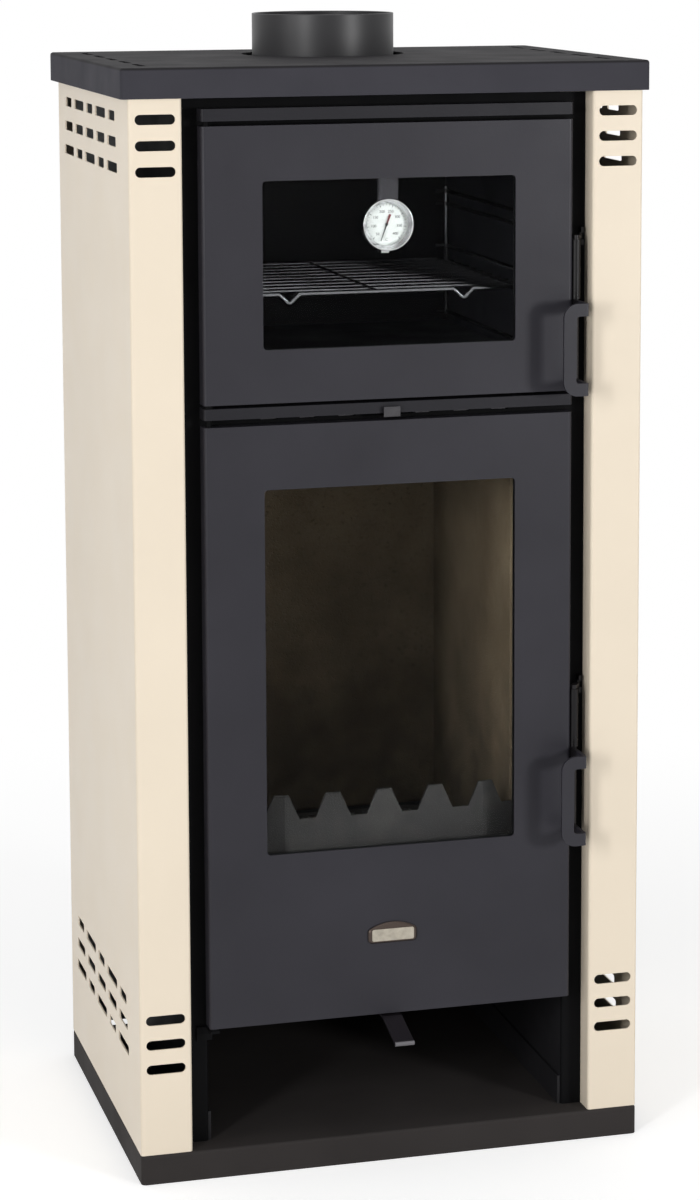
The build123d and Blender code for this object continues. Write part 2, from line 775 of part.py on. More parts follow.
with BuildPart() as air_wash_duct:
    block((-duct_half, duct_half), (y_inside, y_duct), (z_duct_top - plate_sheet, z_duct_top))
    block((-duct_half, duct_half), (y_duct - plate_sheet, y_duct), (z_duct_foot, z_duct_top))
    block((-duct_half, duct_half), (y_inside, y_inside + ledge_depth), (z_duct_foot, z_ledge))
    lip_front = y_slider_back + free_gap
    block((-duct_half, duct_half), (lip_front, lip_front + plate_sheet), (z_duct_foot, z_ledge + ledge_lip))
    for side in (-1, 1):
        end = side * duct_half
        block((end - side * plate_sheet, end), (y_inside, y_duct), (z_duct_foot, z_duct_top))
air_wash_duct.part.label = "air_wash_duct"
export_step(air_wash_duct.part, "parts/air_wash_duct.step")

z_tab = z_air_slot - casing_sheet / 2
y_tab = y_door - tab_forward

with BuildPart() as air_slider:
    block((x_slider_left, x_slider_right), (y_slider, y_slider_back), (z_ledge, z_ledge + slider_height))
    with BuildSketch(facing_front(y_slider_back)):
        for step in air_slot_steps:
            with Locations((step * air_slot_pitch - air_travel, z_air_slot)):
                SlotOverall(air_slot_length, air_slot_height)
    extrude(amount=casing_sheet, mode=Mode.SUBTRACT)
    block((-tab_width / 2, tab_width / 2), (y_tab - casing_sheet, y_slider), (z_tab, z_tab + casing_sheet))
    block((-tab_width / 2, tab_width / 2), (y_tab - casing_sheet, y_tab), (z_tab, z_tab + tab_rise))
    tab_corner = air_slider.edges().filter_by(Axis.X).sort_by(lambda edge: edge.center().Y + edge.center().Z)
    fillet(tab_corner[0], tab_edge)
air_slider.part.label = "air_slider"
export_step(air_slider.part, "parts/air_slider.step")

# Lower air: a flat lever under the hearth floor, with a damper on it and a curled tip in front
lever_half = 10.0
lever_thickness = 3.0
lever_slope = 15.0
lever_bend = 5.0
lever_back = 262.0
curl_radius = 2.6
damper_half = 38.0
damper_length = 46.0
z_lever_top = z_hearth - free_gap - lever_thickness
z_lever = z_lever_top - lever_thickness
y_tip = y_front - front_reach + curl_radius
y_lever_bend = y_front + lever_bend
tip_drop = (y_lever_bend - y_tip) * tan(radians(lever_slope))

with BuildPart() as air_lever:
    with BuildSketch(Plane.YZ.offset(-lever_half)):
        with BuildLine():
            Polyline(
                (y_tip, z_lever_top - tip_drop), (y_lever_bend, z_lever_top),
                (y_front + lever_back, z_lever_top), (y_front + lever_back, z_lever),
                (y_lever_bend, z_lever), (y_tip, z_lever - tip_drop), close=True,
            )
        make_face()
        with Locations((y_tip, z_lever - tip_drop + curl_radius / 2)):
            Circle(curl_radius)
    extrude(amount=2 * lever_half)
    block(
        (-damper_half, damper_half),
        (y_inlet - damper_length / 2, y_inlet + damper_length / 2),
        (z_lever_top, z_lever_top + lever_thickness),
    )
air_lever.part.label = "air_lever"
export_step(air_lever.part, "parts/air_lever.step")

# Straps under the hearth floor that the lever slides in
guide_fronts = (38.0, 206.0)
guide_depth = 12.0
guide_foot = 12.0
x_guide = lever_half + free_gap

with BuildPart() as air_lever_guides:
    for start in guide_fronts:
        ys = (y_front + start, y_front + start + guide_depth)
        block((-x_guide - plate_sheet, x_guide + plate_sheet), ys, (z_lever - plate_sheet, z_lever))
        for side in (-1, 1):
            near = side * x_guide
            far = side * (x_guide + plate_sheet)
            block((near, far), ys, (z_lever - plate_sheet, z_hearth))
            block((far, far + side * guide_foot), ys, (z_hearth - plate_sheet, z_hearth))
air_lever_guides.part.label = "air_lever_guides"
export_step(air_lever_guides.part, "parts/air_lever_guides.step")

# ---------------------------------------------------------------------------
# Oven: welded box, two wire ladders and a wire rack
# ---------------------------------------------------------------------------
oven_back = 345.0
wire_radius = 2.5
thin_wire_radius = 2.0
ladder_stand_off = 3.5
ladder_front = 47.0
ladder_back = 332.0
ladder_foot = 8.0
ladder_height = 141.0
runner_rises = (11.0, 64.0, 84.0, 130.0, 144.0)
rack_level = 1
stop_length = 12.0
rack_side_gap = 9.0
rack_front = 57.0
rack_back = 335.0
rack_wires = 11
rack_lap = 1.0
dip_x = 91.0
dip_width = 21.0
dip_depth = 10.0
dip_corner = 3.0
ladder_x = x_opening - ladder_stand_off
rack_half = ladder_x - rack_side_gap
y_oven_back = y_front + oven_back
z_rack = z_cavity + runner_rises[rack_level] + wire_radius + thin_wire_radius

with BuildPart() as oven_box:
    block(
        (-x_opening - plate_sheet, x_opening + plate_sheet),
        (y_inside, y_oven_back + plate_sheet),
        (z_cavity - plate_sheet, z_cavity_top + plate_sheet),
    )
    block((-x_opening, x_opening), (y_inside, y_oven_back), (z_cavity, z_cavity_top), mode=Mode.SUBTRACT)
oven_box.part.label = "oven_box"
export_step(oven_box.part, "parts/oven_box.step")


def rack_ladder(side):
    """Wire ladder on one oven wall: uprights, runners with end stops, and pegs into the wall."""
    x_wire = side * ladder_x
    y0 = y_front + ladder_front
    y1 = y_front + ladder_back
    z0 = z_cavity + ladder_foot
    z1 = z0 + ladder_height
    for y_upright in (y0, y1):
        rod((x_wire, y_upright, z0), (x_wire, y_upright, z1), wire_radius)
        for level in (z0 + 2 * ladder_foot, z1 - 2 * ladder_foot):
            rod((x_wire, y_upright, level), (side * x_opening, y_upright, level), thin_wire_radius)
    for row, rise in enumerate(runner_rises):
        level = z_cavity + rise
        rod((x_wire, y0 - ladder_foot, level), (x_wire, y1 + ladder_foot, level), wire_radius)
        if row != rack_level:
            rod((x_wire, y1, level), (x_wire - side * stop_length, y1, level), thin_wire_radius)


with BuildPart() as rack_ladder_left:
    rack_ladder(-1)
rack_ladder_left.part.label = "rack_ladder_left"
export_step(rack_ladder_left.part, "parts/rack_ladder_left.step")

with BuildPart() as rack_ladder_right:
    rack_ladder(1)
rack_ladder_right.part.label = "rack_ladder_right"
export_step(rack_ladder_right.part, "parts/rack_ladder_right.step")

y_rack = y_front + rack_front
y_rack_back = y_front + rack_back

with BuildPart() as oven_rack:
    with BuildLine() as front_wire:
        dips = []
        for middle in (-dip_x, dip_x):
            dips += [
                (middle - dip_width / 2, y_rack, z_rack),
                (middle, y_rack, z_rack - dip_depth),
                (middle + dip_width / 2, y_rack, z_rack),
            ]
        FilletPolyline((-rack_half, y_rack, z_rack), *dips, (rack_half, y_rack, z_rack), radius=dip_corner)
    tube_along(front_wire.line, wire_radius)
    rod((-rack_half, y_rack_back, z_rack), (rack_half, y_rack_back, z_rack), wire_radius)
    for x_side in (-rack_half, rack_half):
        rod((x_side, y_rack, z_rack), (x_side, y_rack_back, z_rack), wire_radius)
        for y_end in (y_rack, y_rack_back):
            with BuildSketch(Plane.XY.offset(z_rack)) as joint:
                with Locations((x_side, y_end)):
                    Circle(wire_radius)
            extrude(joint.sketch, amount=wire_radius, both=True)
    for y_cross in evenly(y_rack, y_rack_back, rack_wires)[1:-1]:
        reach = ladder_x + rack_lap
        rod((-reach, y_cross, z_rack), (reach, y_cross, z_rack), thin_wire_radius)
    rod((0, y_rack, z_rack), (0, y_rack_back, z_rack), thin_wire_radius)
oven_rack.part.label = "oven_rack"
export_step(oven_rack.part, "parts/oven_rack.step")

# ---------------------------------------------------------------------------
# Doors: folded leaf, gasket, glass, clamping frame, screws, rope seal, latch
# ---------------------------------------------------------------------------
door_edge_radius = 4.0
seal_radius = 5.25
seal_corner = 16.0
seal_wall = 1.5
channel_rise = 5.0
glass_lap = 12.0
glass_thickness = 4.0
gasket_thickness = 1.5
clamp_side = 26.5
clamp_ends = 18.0
window_corner = 4.0
glass_screw_inset = 8.0
glass_screw_end = 15.0
gasket_inner_edge = 2.0
gasket_outer_edge = 1.0
oven_window_foot = 53.0
oven_window_head = 54.4
fire_window_foot = 175.3
fire_window_head = 64.6
y_seal = y_frame - seal_radius
y_channel = y_seal - seal_radius
y_glass = y_sheet_back + gasket_thickness
y_clamp = y_glass + glass_thickness
y_clamp_back = y_clamp + plate_sheet
oven_window = (z_oven + oven_window_foot, z_oven_top - oven_window_head)
fire_window = (z_hearth + fire_window_foot, z_fire_top - fire_window_head)
oven_seal = (z_cavity - seal_offset, z_cavity_top + seal_offset)
fire_seal = (z_firing - seal_offset, z_firing_top + seal_offset)


def clamp_screw_spots(window_zs, rows):
    """Screw positions down both sides of a clamping frame, as X and Z."""
    x_screw = x_window + clamp_side - glass_screw_inset
    end = clamp_ends - glass_screw_end
    levels = evenly(window_zs[0] - end, window_zs[1] + end, rows)
    return [(side * x_screw, level) for side in (-1, 1) for level in levels]


def door_leaf(part, zs, window_zs, seal_zs):
    """Door pan: a face with its edges folded back, a window and a channel for the rope seal."""
    block((-x_door, x_door), (y_door, y_leaf_back), zs)
    fillet(part.edges().filter_by(Axis.Z).group_by(Axis.Y)[0], door_edge_radius)
    block(
        (-x_door + plate_sheet, x_door - plate_sheet),
        (y_sheet_back, y_leaf_back),
        (zs[0] + plate_sheet, zs[1] - plate_sheet),
        mode=Mode.SUBTRACT,
    )
    upright_panel(x_window, window_zs, (y_door, y_sheet_back), window_corner, mode=Mode.SUBTRACT)
    lip = seal_radius + seal_wall
    channel_mouth = y_channel + channel_rise
    upright_ring(x_seal, seal_zs, seal_corner, seal_radius, lip, (y_sheet_back, channel_mouth))
    upright_ring(x_seal, seal_zs, seal_corner, -lip, lip, (y_channel - seal_wall, y_channel))
    upright_ring(x_seal, seal_zs, seal_corner, -lip, -seal_radius, (y_channel, channel_mouth))
    for level in (zs[0], zs[1] - plate_sheet):
        hinge_hole(level, level + plate_sheet, pin_radius + running_gap)


def door_glass(window_zs):
    """Glass pane that laps the window all round."""
    zs = (window_zs[0] - glass_lap, window_zs[1] + glass_lap)
    upright_panel(x_window + glass_lap, zs, (y_glass, y_clamp), window_corner)


def glass_gasket(window_zs):
    """Flat tape ring between the leaf and the glass."""
    outer = glass_lap - gasket_outer_edge
    upright_ring(x_window, window_zs, window_corner, gasket_inner_edge, outer, (y_sheet_back, y_glass))


def glass_clamp(window_zs, rows):
    """Clamping frame: a flat ring behind the glass with a rim that rests on the leaf."""
    half = x_window + clamp_side
    zs = (window_zs[0] - clamp_ends, window_zs[1] + clamp_ends)
    upright_panel(half, zs, (y_sheet_back, y_clamp_back), window_corner)
    inner_zs = (zs[0] + plate_sheet, zs[1] - plate_sheet)
    upright_panel(half - plate_sheet, inner_zs, (y_sheet_back, y_clamp), plate_sheet, mode=Mode.SUBTRACT)
    upright_panel(x_window, window_zs, (y_clamp, y_clamp_back), window_corner, mode=Mode.SUBTRACT)
    for x_screw, level in clamp_screw_spots(window_zs, rows):
        start = (x_screw, y_clamp, level)
        rod(start, (x_screw, y_clamp_back, level), screw_radius, mode=Mode.SUBTRACT)


def clamp_screws(window_zs, rows):
    """Round-headed screws with a socket, from the clamping frame into the leaf."""
    for x_screw, level in clamp_screw_spots(window_zs, rows):
        seat = (x_screw, y_clamp_back, level)
        crown = (x_screw, y_clamp_back + screw_head_height, level)
        rod((x_screw, y_sheet_back, level), seat, screw_radius)
        rod(seat, crown, screw_head_radius)
        rod((x_screw, seat[1] + screw_head_height / 2, level), crown, socket_radius, mode=Mode.SUBTRACT)


def rope_seal(seal_zs):
    """Round rope that runs once around the opening, in the leaf's channel."""
    with BuildSketch(facing_front(y_seal)) as loop:
        with Locations((0, sum(seal_zs) / 2)):
            RectangleRounded(2 * x_seal, seal_zs[1] - seal_zs[0], seal_corner)
    tube_along(loop.sketch.face().outer_wire(), seal_radius)


# Latch sizes: a flat handle on an upright spindle that turns in a barrel on the leaf's right edge
barrel_radius = 4.5
barrel_length = 60.0
spindle_behind_face = 4.0
handle_height = 93.0
handle_thickness = 3.5
handle_strip = 12.7
handle_reach = 26.5
handle_stand_off = 38.5
handle_outer_corner = 14.5
handle_inner_corner = 3.5
arm_fold_radius = 3.0
pick_band = 0.1
oven_handle_rise = -0.5
fire_handle_rise = 171.0
tongue_height = 4.0
tongue_set_back = 7.0
catch_thickness = 2.8
catch_height = 18.0
catch_depth = 8.0
catch_web = 3.0
catch_inset = 4.0
notch_play = 1.5
x_spindle = x_door + barrel_radius
y_spindle = y_door + spindle_behind_face
spindle_radius = pin_radius
x_catch = x_reveal - catch_inset - catch_thickness
x_tongue = x_catch - free_gap
z_oven_handle = z_oven + oven_handle_rise
z_fire_handle = z_hearth + fire_handle_rise
y_handle = y_door - handle_stand_off
x_grip = x_spindle - handle_reach
x_arm = x_spindle - handle_thickness
latch_rise = handle_height + free_gap + barrel_length + free_gap


def latch_barrel(handle_foot):
    """Barrel welded to the leaf's edge, just above the handle."""
    foot = handle_foot + handle_height + free_gap
    rod((x_spindle, y_spindle, foot), (x_spindle, y_spindle, foot + barrel_length), barrel_radius)
    block((x_door, x_spindle), (y_spindle, y_spindle + barrel_radius), (foot, foot + barrel_length))
    rod(
        (x_spindle, y_spindle, foot),
        (x_spindle, y_spindle, foot + barrel_length),
        spindle_radius + running_gap,
        mode=Mode.SUBTRACT,
    )


def door_handle(part, handle_foot):
    """Flat C-shaped grip, two arms folded back to the spindle, and the latch tongue on top."""
    head = handle_foot + handle_height
    with BuildSketch(facing_front(y_handle + handle_thickness)) as outline:
        with BuildLine():
            FilletPolyline(
                (x_spindle, head), (x_grip, head), (x_grip, handle_foot), (x_spindle, handle_foot),
                radius=handle_outer_corner,
            )
            Line((x_spindle, handle_foot), (x_spindle, handle_foot + handle_strip))
            FilletPolyline(
                (x_spindle, handle_foot + handle_strip),
                (x_grip + handle_strip, handle_foot + handle_strip),
                (x_grip + handle_strip, head - handle_strip),
                (x_spindle, head - handle_strip),
                radius=handle_inner_corner,
            )
            Line((x_spindle, head - handle_strip), (x_spindle, head))
        make_face()
    extrude(outline.sketch, amount=handle_thickness)
    for foot in (handle_foot, head - handle_strip):
        block((x_arm, x_spindle), (y_handle, y_spindle), (foot, foot + handle_strip))
    uprights = part.edges().filter_by(Axis.Z)
    folds = uprights.filter_by_position(Axis.X, x_spindle - pick_band, x_spindle + pick_band)
    fillet(folds.filter_by_position(Axis.Y, y_handle - pick_band, y_handle + pick_band), arm_fold_radius)
    tongue_foot = handle_foot + latch_rise
    rod(
        (x_spindle, y_spindle, handle_foot), (x_spindle, y_spindle, tongue_foot + tongue_height),
        spindle_radius,
    )
    tongue_reach = x_tongue - spindle_radius - x_spindle
    with BuildSketch(Plane.XY.offset(tongue_foot)) as tongue:
        with Locations((x_spindle + tongue_reach / 2, y_spindle + tongue_set_back / 2)):
            SlotCenterToCenter(
                hypot(tongue_reach, tongue_set_back),
                2 * spindle_radius,
                rotation=degrees(atan2(tongue_set_back, tongue_reach)),
            )
    extrude(tongue.sketch, amount=tongue_height)


def latch_catch(handle_foot):
    """Plate that stands out of the frame's right post, with a notch for the tongue."""
    middle = handle_foot + latch_rise + tongue_height / 2
    notch = tongue_height / 2 + notch_play
    xs = (x_catch, x_catch + catch_thickness)
    y_edge = y_frame - catch_depth
    block(xs, (y_edge, y_frame), (middle - catch_height / 2, middle + catch_height / 2))
    block(xs, (y_edge, y_frame - catch_web), (middle - notch, middle + notch), mode=Mode.SUBTRACT)


with BuildPart() as oven_door_leaf:
    door_leaf(oven_door_leaf, (z_oven, z_oven_top), oven_window, oven_seal)
oven_door_leaf.part.label = "oven_door_leaf"
export_step(oven_door_leaf.part, "parts/oven_door_leaf.step")

with BuildPart() as fire_door_leaf:
    door_leaf(fire_door_leaf, (z_hearth, z_fire_top), fire_window, fire_seal)
fire_door_leaf.part.label = "fire_door_leaf"
export_step(fire_door_leaf.part, "parts/fire_door_leaf.step")

with BuildPart() as oven_door_glass:
    door_glass(oven_window)
oven_door_glass.part.label = "oven_door_glass"
export_step(oven_door_glass.part, "parts/oven_door_glass.step")

with BuildPart() as fire_door_glass:
    door_glass(fire_window)
fire_door_glass.part.label = "fire_door_glass"
export_step(fire_door_glass.part, "parts/fire_door_glass.step")

with BuildPart() as oven_glass_gasket:
    glass_gasket(oven_window)
oven_glass_gasket.part.label = "oven_glass_gasket"
export_step(oven_glass_gasket.part, "parts/oven_glass_gasket.step")

with BuildPart() as fire_glass_gasket:
    glass_gasket(fire_window)
fire_glass_gasket.part.label = "fire_glass_gasket"
export_step(fire_glass_gasket.part, "parts/fire_glass_gasket.step")

oven_screw_rows = 3
fire_screw_rows = 5

with BuildPart() as oven_glass_frame:
    glass_clamp(oven_window, oven_screw_rows)
oven_glass_frame.part.label = "oven_glass_frame"
export_step(oven_glass_frame.part, "parts/oven_glass_frame.step")

with BuildPart() as fire_glass_frame:
    glass_clamp(fire_window, fire_screw_rows)
fire_glass_frame.part.label = "fire_glass_frame"
export_step(fire_glass_frame.part, "parts/fire_glass_frame.step")

with BuildPart() as oven_glass_screws:
    clamp_screws(oven_window, oven_screw_rows)
oven_glass_screws.part.label = "oven_glass_screws"
export_step(oven_glass_screws.part, "parts/oven_glass_screws.step")

with BuildPart() as fire_glass_screws:
    clamp_screws(fire_window, fire_screw_rows)
fire_glass_screws.part.label = "fire_glass_screws"
export_step(fire_glass_screws.part, "parts/fire_glass_screws.step")

with BuildPart() as oven_door_seal:
    rope_seal(oven_seal)
oven_door_seal.part.label = "oven_door_seal"
export_step(oven_door_seal.part, "parts/oven_door_seal.step")

with BuildPart() as fire_door_seal:
    rope_seal(fire_seal)
fire_door_seal.part.label = "fire_door_seal"
export_step(fire_door_seal.part, "parts/fire_door_seal.step")

with BuildPart() as oven_latch_barrel:
    latch_barrel(z_oven_handle)
oven_latch_barrel.part.label = "oven_latch_barrel"
export_step(oven_latch_barrel.part, "parts/oven_latch_barrel.step")

with BuildPart() as fire_latch_barrel:
    latch_barrel(z_fire_handle)
fire_latch_barrel.part.label = "fire_latch_barrel"
export_step(fire_latch_barrel.part, "parts/fire_latch_barrel.step")

with BuildPart() as oven_door_handle:
    door_handle(oven_door_handle, z_oven_handle)
oven_door_handle.part.label = "oven_door_handle"
export_step(oven_door_handle.part, "parts/oven_door_handle.step")

with BuildPart() as fire_door_handle:
    door_handle(fire_door_handle, z_fire_handle)
fire_door_handle.part.label = "fire_door_handle"
export_step(fire_door_handle.part, "parts/fire_door_handle.step")

with BuildPart() as oven_latch_catch:
    latch_catch(z_oven_handle)
oven_latch_catch.part.label = "oven_latch_catch"
export_step(oven_latch_catch.part, "parts/oven_latch_catch.step")

with BuildPart() as fire_latch_catch:
    latch_catch(z_fire_handle)
fire_latch_catch.part.label = "fire_latch_catch"
export_step(fire_latch_catch.part, "parts/fire_latch_catch.step")

# Blank plaque on the fire door: an arched plate with a bevel all round and a plain raised field
plaque_half = 25.5
plaque_end_height = 14.0
plaque_height = 21.5
plaque_rise = 75.0
plaque_thickness = 3.0
plaque_corner = 4.5
plaque_bevel = 1.4
field_half = 22.0
field_foot = 2.6
field_height = 12.4
field_corner = 2.0
field_relief = 0.5
z_plaque = z_hearth + plaque_rise
y_plaque = y_door - plaque_thickness

with BuildPart() as blank_plaque:
    with BuildSketch(facing_front(y_door)) as plate:
        with BuildLine():
            Polyline(
                (-plaque_half, z_plaque + plaque_end_height), (-plaque_half, z_plaque),
                (plaque_half, z_plaque), (plaque_half, z_plaque + plaque_end_height),
            )
            ThreePointArc(
                (plaque_half, z_plaque + plaque_end_height),
                (0, z_plaque + plaque_height),
                (-plaque_half, z_plaque + plaque_end_height),
            )
        make_face()
        fillet(plate.vertices(), plaque_corner)
    extrude(amount=plaque_thickness)
    chamfer(blank_plaque.faces().sort_by(Axis.Y)[0].edges(), plaque_bevel)
    field_zs = (z_plaque + field_foot, z_plaque + field_foot + field_height)
    upright_panel(field_half, field_zs, (y_plaque - field_relief, y_plaque), field_corner)
blank_plaque.part.label = "blank_plaque"
export_step(blank_plaque.part, "parts/blank_plaque.step")

# ---------------------------------------------------------------------------
# Oven thermometer behind the glass
# ---------------------------------------------------------------------------
dial_centre_drop = 47.0
case_radius = 26.0
case_depth_back = 13.0
case_wall = 1.2
case_edge = 0.8
rim_width = 1.6
bezel_opening = 21.0
bezel_depth = 5.0
lens_thickness = 1.5
needle_gap = 1.0
dial_gap = 1.0
dial_thickness = 1.0
needle_thickness = 0.6
needle_long = 17.5
needle_short = 10.5
needle_hub = 1.6
needle_shaft = 0.8
needle_lean = 20.0
pointer_root = 0.6
pointer_end = 0.3
tail_root = 0.6
tail_end = 1.2
bracket_width = 20.0
bracket_flange_depth = 4.0
hook_width = 8.0
hook_head = 14.0
hook_drop = 30.0
hook_reach = 16.0
hook_lip = 5.0
hook_bend = 2.4
z_dial = oven_window[1] - dial_centre_drop
y_case = y_clamp + free_gap
y_lens = y_case + bezel_depth
y_needle = y_lens + lens_thickness + needle_gap
y_dial = y_needle + needle_thickness + dial_gap
y_cup_back = y_case + case_depth_back


def dial_disc(radius, y0, y1, mode=Mode.ADD):
    """Disc on the thermometer's centre line."""
    rod((0, y1, z_dial), (0, y0, z_dial), radius, mode=mode)


with BuildPart() as thermometer_bracket:
    strip_head = oven_window[1] + clamp_ends - plate_sheet
    half = bracket_width / 2
    block((-half, half), (y_clamp_back, y_clamp_back + casing_sheet), (z_dial, strip_head))
    for side in (-1, 1):
        block(
            (side * (half - casing_sheet), side * half),
            (y_clamp_back, y_clamp_back + bracket_flange_depth),
            (z_dial, strip_head),
        )
    dial_disc(case_radius, y_case, y_cup_back, mode=Mode.SUBTRACT)
thermometer_bracket.part.label = "thermometer_bracket"
export_step(thermometer_bracket.part, "parts/thermometer_bracket.step")

# Case: a cup with a conical bezel in front and a narrow hook on its back
with BuildPart() as thermometer_case:
    with BuildSketch(Plane.YZ):
        with BuildLine():
            Polyline(
                (y_case, z_dial + case_radius - rim_width), (y_case, z_dial + case_radius),
                (y_cup_back, z_dial + case_radius), (y_cup_back, z_dial),
                (y_cup_back - case_wall, z_dial), (y_cup_back - case_wall, z_dial + case_radius - case_wall),
                (y_lens, z_dial + case_radius - case_wall), (y_lens, z_dial + bezel_opening), close=True,
            )
        make_face()
    revolve(axis=Axis((0, 0, z_dial), (0, 1, 0)))
    rim = thermometer_case.edges().filter_by(GeomType.CIRCLE).group_by(Axis.Y)[0].sort_by(SortBy.RADIUS)[-1]
    fillet(rim, case_edge)
    with BuildSketch(Plane.YZ.offset(-hook_width / 2)):
        with BuildLine():
            hook = FilletPolyline(
                (y_cup_back, z_dial - hook_head),
                (y_cup_back, z_dial - hook_drop),
                (y_cup_back + hook_reach, z_dial - hook_drop),
                (y_cup_back + hook_reach, z_dial - hook_drop + hook_lip),
                radius=hook_bend,
            )
            offset(hook, amount=case_wall, side=Side.LEFT)
        make_face()
    extrude(amount=hook_width)
thermometer_case.part.label = "thermometer_case"
export_step(thermometer_case.part, "parts/thermometer_case.step")

with BuildPart() as thermometer_lens:
    dial_disc(case_radius - case_wall, y_lens, y_lens + lens_thickness)
thermometer_lens.part.label = "thermometer_lens"
export_step(thermometer_lens.part, "parts/thermometer_lens.step")

with BuildPart() as thermometer_dial:
    dial_disc(case_radius - case_wall, y_dial, y_dial + dial_thickness)
    dial_disc(needle_shaft + running_gap, y_dial, y_dial + dial_thickness, mode=Mode.SUBTRACT)
thermometer_dial.part.label = "thermometer_dial"
export_step(thermometer_dial.part, "parts/thermometer_dial.step")

# Needle: thin pointer on one side of its hub and a broader tail on the other
with BuildPart() as thermometer_needle:
    toward = (-sin(radians(needle_lean)), -cos(radians(needle_lean)))
    across = (toward[1], -toward[0])
    with BuildSketch(facing_front(y_needle + needle_thickness)):
        with Locations((0, z_dial)):
            Circle(needle_hub)
        for reach, root, end in (
            (needle_long, pointer_root, pointer_end),
            (-needle_short, tail_root, tail_end),
        ):
            corners = []
            for length, width in ((0, root), (reach, end), (reach, -end), (0, -root)):
                corners.append(
                    (toward[0] * length + across[0] * width, z_dial + toward[1] * length + across[1] * width)
                )
            with BuildLine():
                Polyline(*corners, close=True)
            make_face()
    extrude(amount=needle_thickness)
    dial_disc(needle_shaft, y_needle, y_dial + dial_thickness)
thermometer_needle.part.label = "thermometer_needle"
export_step(thermometer_needle.part, "parts/thermometer_needle.step")
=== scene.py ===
# %% [markdown]
# # A wood cookstove, dressed over its construction model
#
# The construction model already holds every sheet, brick, wire and screw of the stove at its real size.
# This script loads it, gives each piece a finish, adds what only the eye needs, such as the print on the
# thermometer's dial and the twist of the rope seals, and sets up a quiet photo studio around it.

# %% Load the construction model
import math

import bmesh
import bpy
from mathutils import Matrix, Vector


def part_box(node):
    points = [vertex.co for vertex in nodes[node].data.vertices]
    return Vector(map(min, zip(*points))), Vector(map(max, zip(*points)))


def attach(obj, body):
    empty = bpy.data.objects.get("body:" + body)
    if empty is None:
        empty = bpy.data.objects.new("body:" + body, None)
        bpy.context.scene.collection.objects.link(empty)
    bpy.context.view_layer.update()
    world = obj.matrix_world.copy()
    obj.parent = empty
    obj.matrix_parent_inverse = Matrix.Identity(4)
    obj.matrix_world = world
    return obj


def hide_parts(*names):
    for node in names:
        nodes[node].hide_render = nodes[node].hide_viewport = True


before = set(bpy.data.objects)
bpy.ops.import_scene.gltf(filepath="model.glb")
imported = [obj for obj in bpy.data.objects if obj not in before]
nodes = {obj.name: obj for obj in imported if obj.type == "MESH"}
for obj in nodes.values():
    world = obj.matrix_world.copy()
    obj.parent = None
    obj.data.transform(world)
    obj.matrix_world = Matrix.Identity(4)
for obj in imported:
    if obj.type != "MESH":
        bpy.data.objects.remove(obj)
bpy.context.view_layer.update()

# %% [markdown]
# ## The camera
#
# The stove was photographed from its left front, a little above the top plate, with a long lens that keeps
# the uprights nearly parallel. A camera can stay almost level and still look down on the object when its
# lens is shifted, so part of the downward view is a shift and the rest is a small pitch.

# %% Camera at the photograph's viewing angle
VIEW_AZIMUTH = -0.261522
VIEW_PITCH = 0.129809
VIEW_ROLL = -0.004108
FOCAL_PIXELS = 3194.6
FRAME_HEIGHT = 1200
OPTICAL_ROW = 336
CAMERA_PLACE = Vector((-0.852065, -3.201854, 1.261157))

camera_data = bpy.data.cameras.new("studio_camera")
camera_data.sensor_width = 36
camera_data.lens = FOCAL_PIXELS / FRAME_HEIGHT * camera_data.sensor_width
camera_data.shift_y = (OPTICAL_ROW - FRAME_HEIGHT / 2) / FRAME_HEIGHT
camera = bpy.data.objects.new("studio_camera", camera_data)
bpy.context.scene.collection.objects.link(camera)
camera.matrix_world = (
    Matrix.Translation(CAMERA_PLACE)
    @ Matrix.Rotation(VIEW_AZIMUTH, 4, "Z")
    @ Matrix.Rotation(math.pi / 2 - VIEW_PITCH, 4, "X")
    @ Matrix.Rotation(VIEW_ROLL, 4, "Z")
)
bpy.context.scene.camera = camera
print("lens", round(camera_data.lens, 1), "mm, shift", round(camera_data.shift_y, 3))

# %% [markdown]
# ## The studio
#
# A stove shot for a catalogue stands on white with hardly a shadow. Here the world and the floor show as
# white to the camera and in reflections, and area lamps do the lighting. The strongest is fairly small and
# stands at the right, so each handle throws its shadow on the door beside it. Broad lamps at the left and
# overhead fill in, and a tall narrow one draws a line of light down the doors' folded left edges.

# %% World, floor and lamps
scene = bpy.context.scene
scene.view_settings.view_transform = "Standard"
AMBIENT_LIGHT = 0.26


def seen_directly(node_tree):
    """1 for the rays that show the white surroundings: from the camera, mirrored or through glass."""
    path = node_tree.nodes.new("ShaderNodeLightPath")
    shown = path.outputs["Is Camera Ray"]
    for kind in ("Is Glossy Ray", "Is Transmission Ray"):
        either = node_tree.nodes.new("ShaderNodeMath")
        either.operation = "MAXIMUM"
        node_tree.links.new(shown, either.inputs[0])
        node_tree.links.new(path.outputs[kind], either.inputs[1])
        shown = either.outputs[0]
    unscattered = node_tree.nodes.new("ShaderNodeMath")
    unscattered.operation = "LESS_THAN"
    unscattered.inputs[1].default_value = 0.5
    node_tree.links.new(path.outputs["Diffuse Depth"], unscattered.inputs[0])
    direct = node_tree.nodes.new("ShaderNodeMath")
    direct.operation = "MULTIPLY"
    node_tree.links.new(shown, direct.inputs[0])
    node_tree.links.new(unscattered.outputs[0], direct.inputs[1])
    return direct.outputs[0]


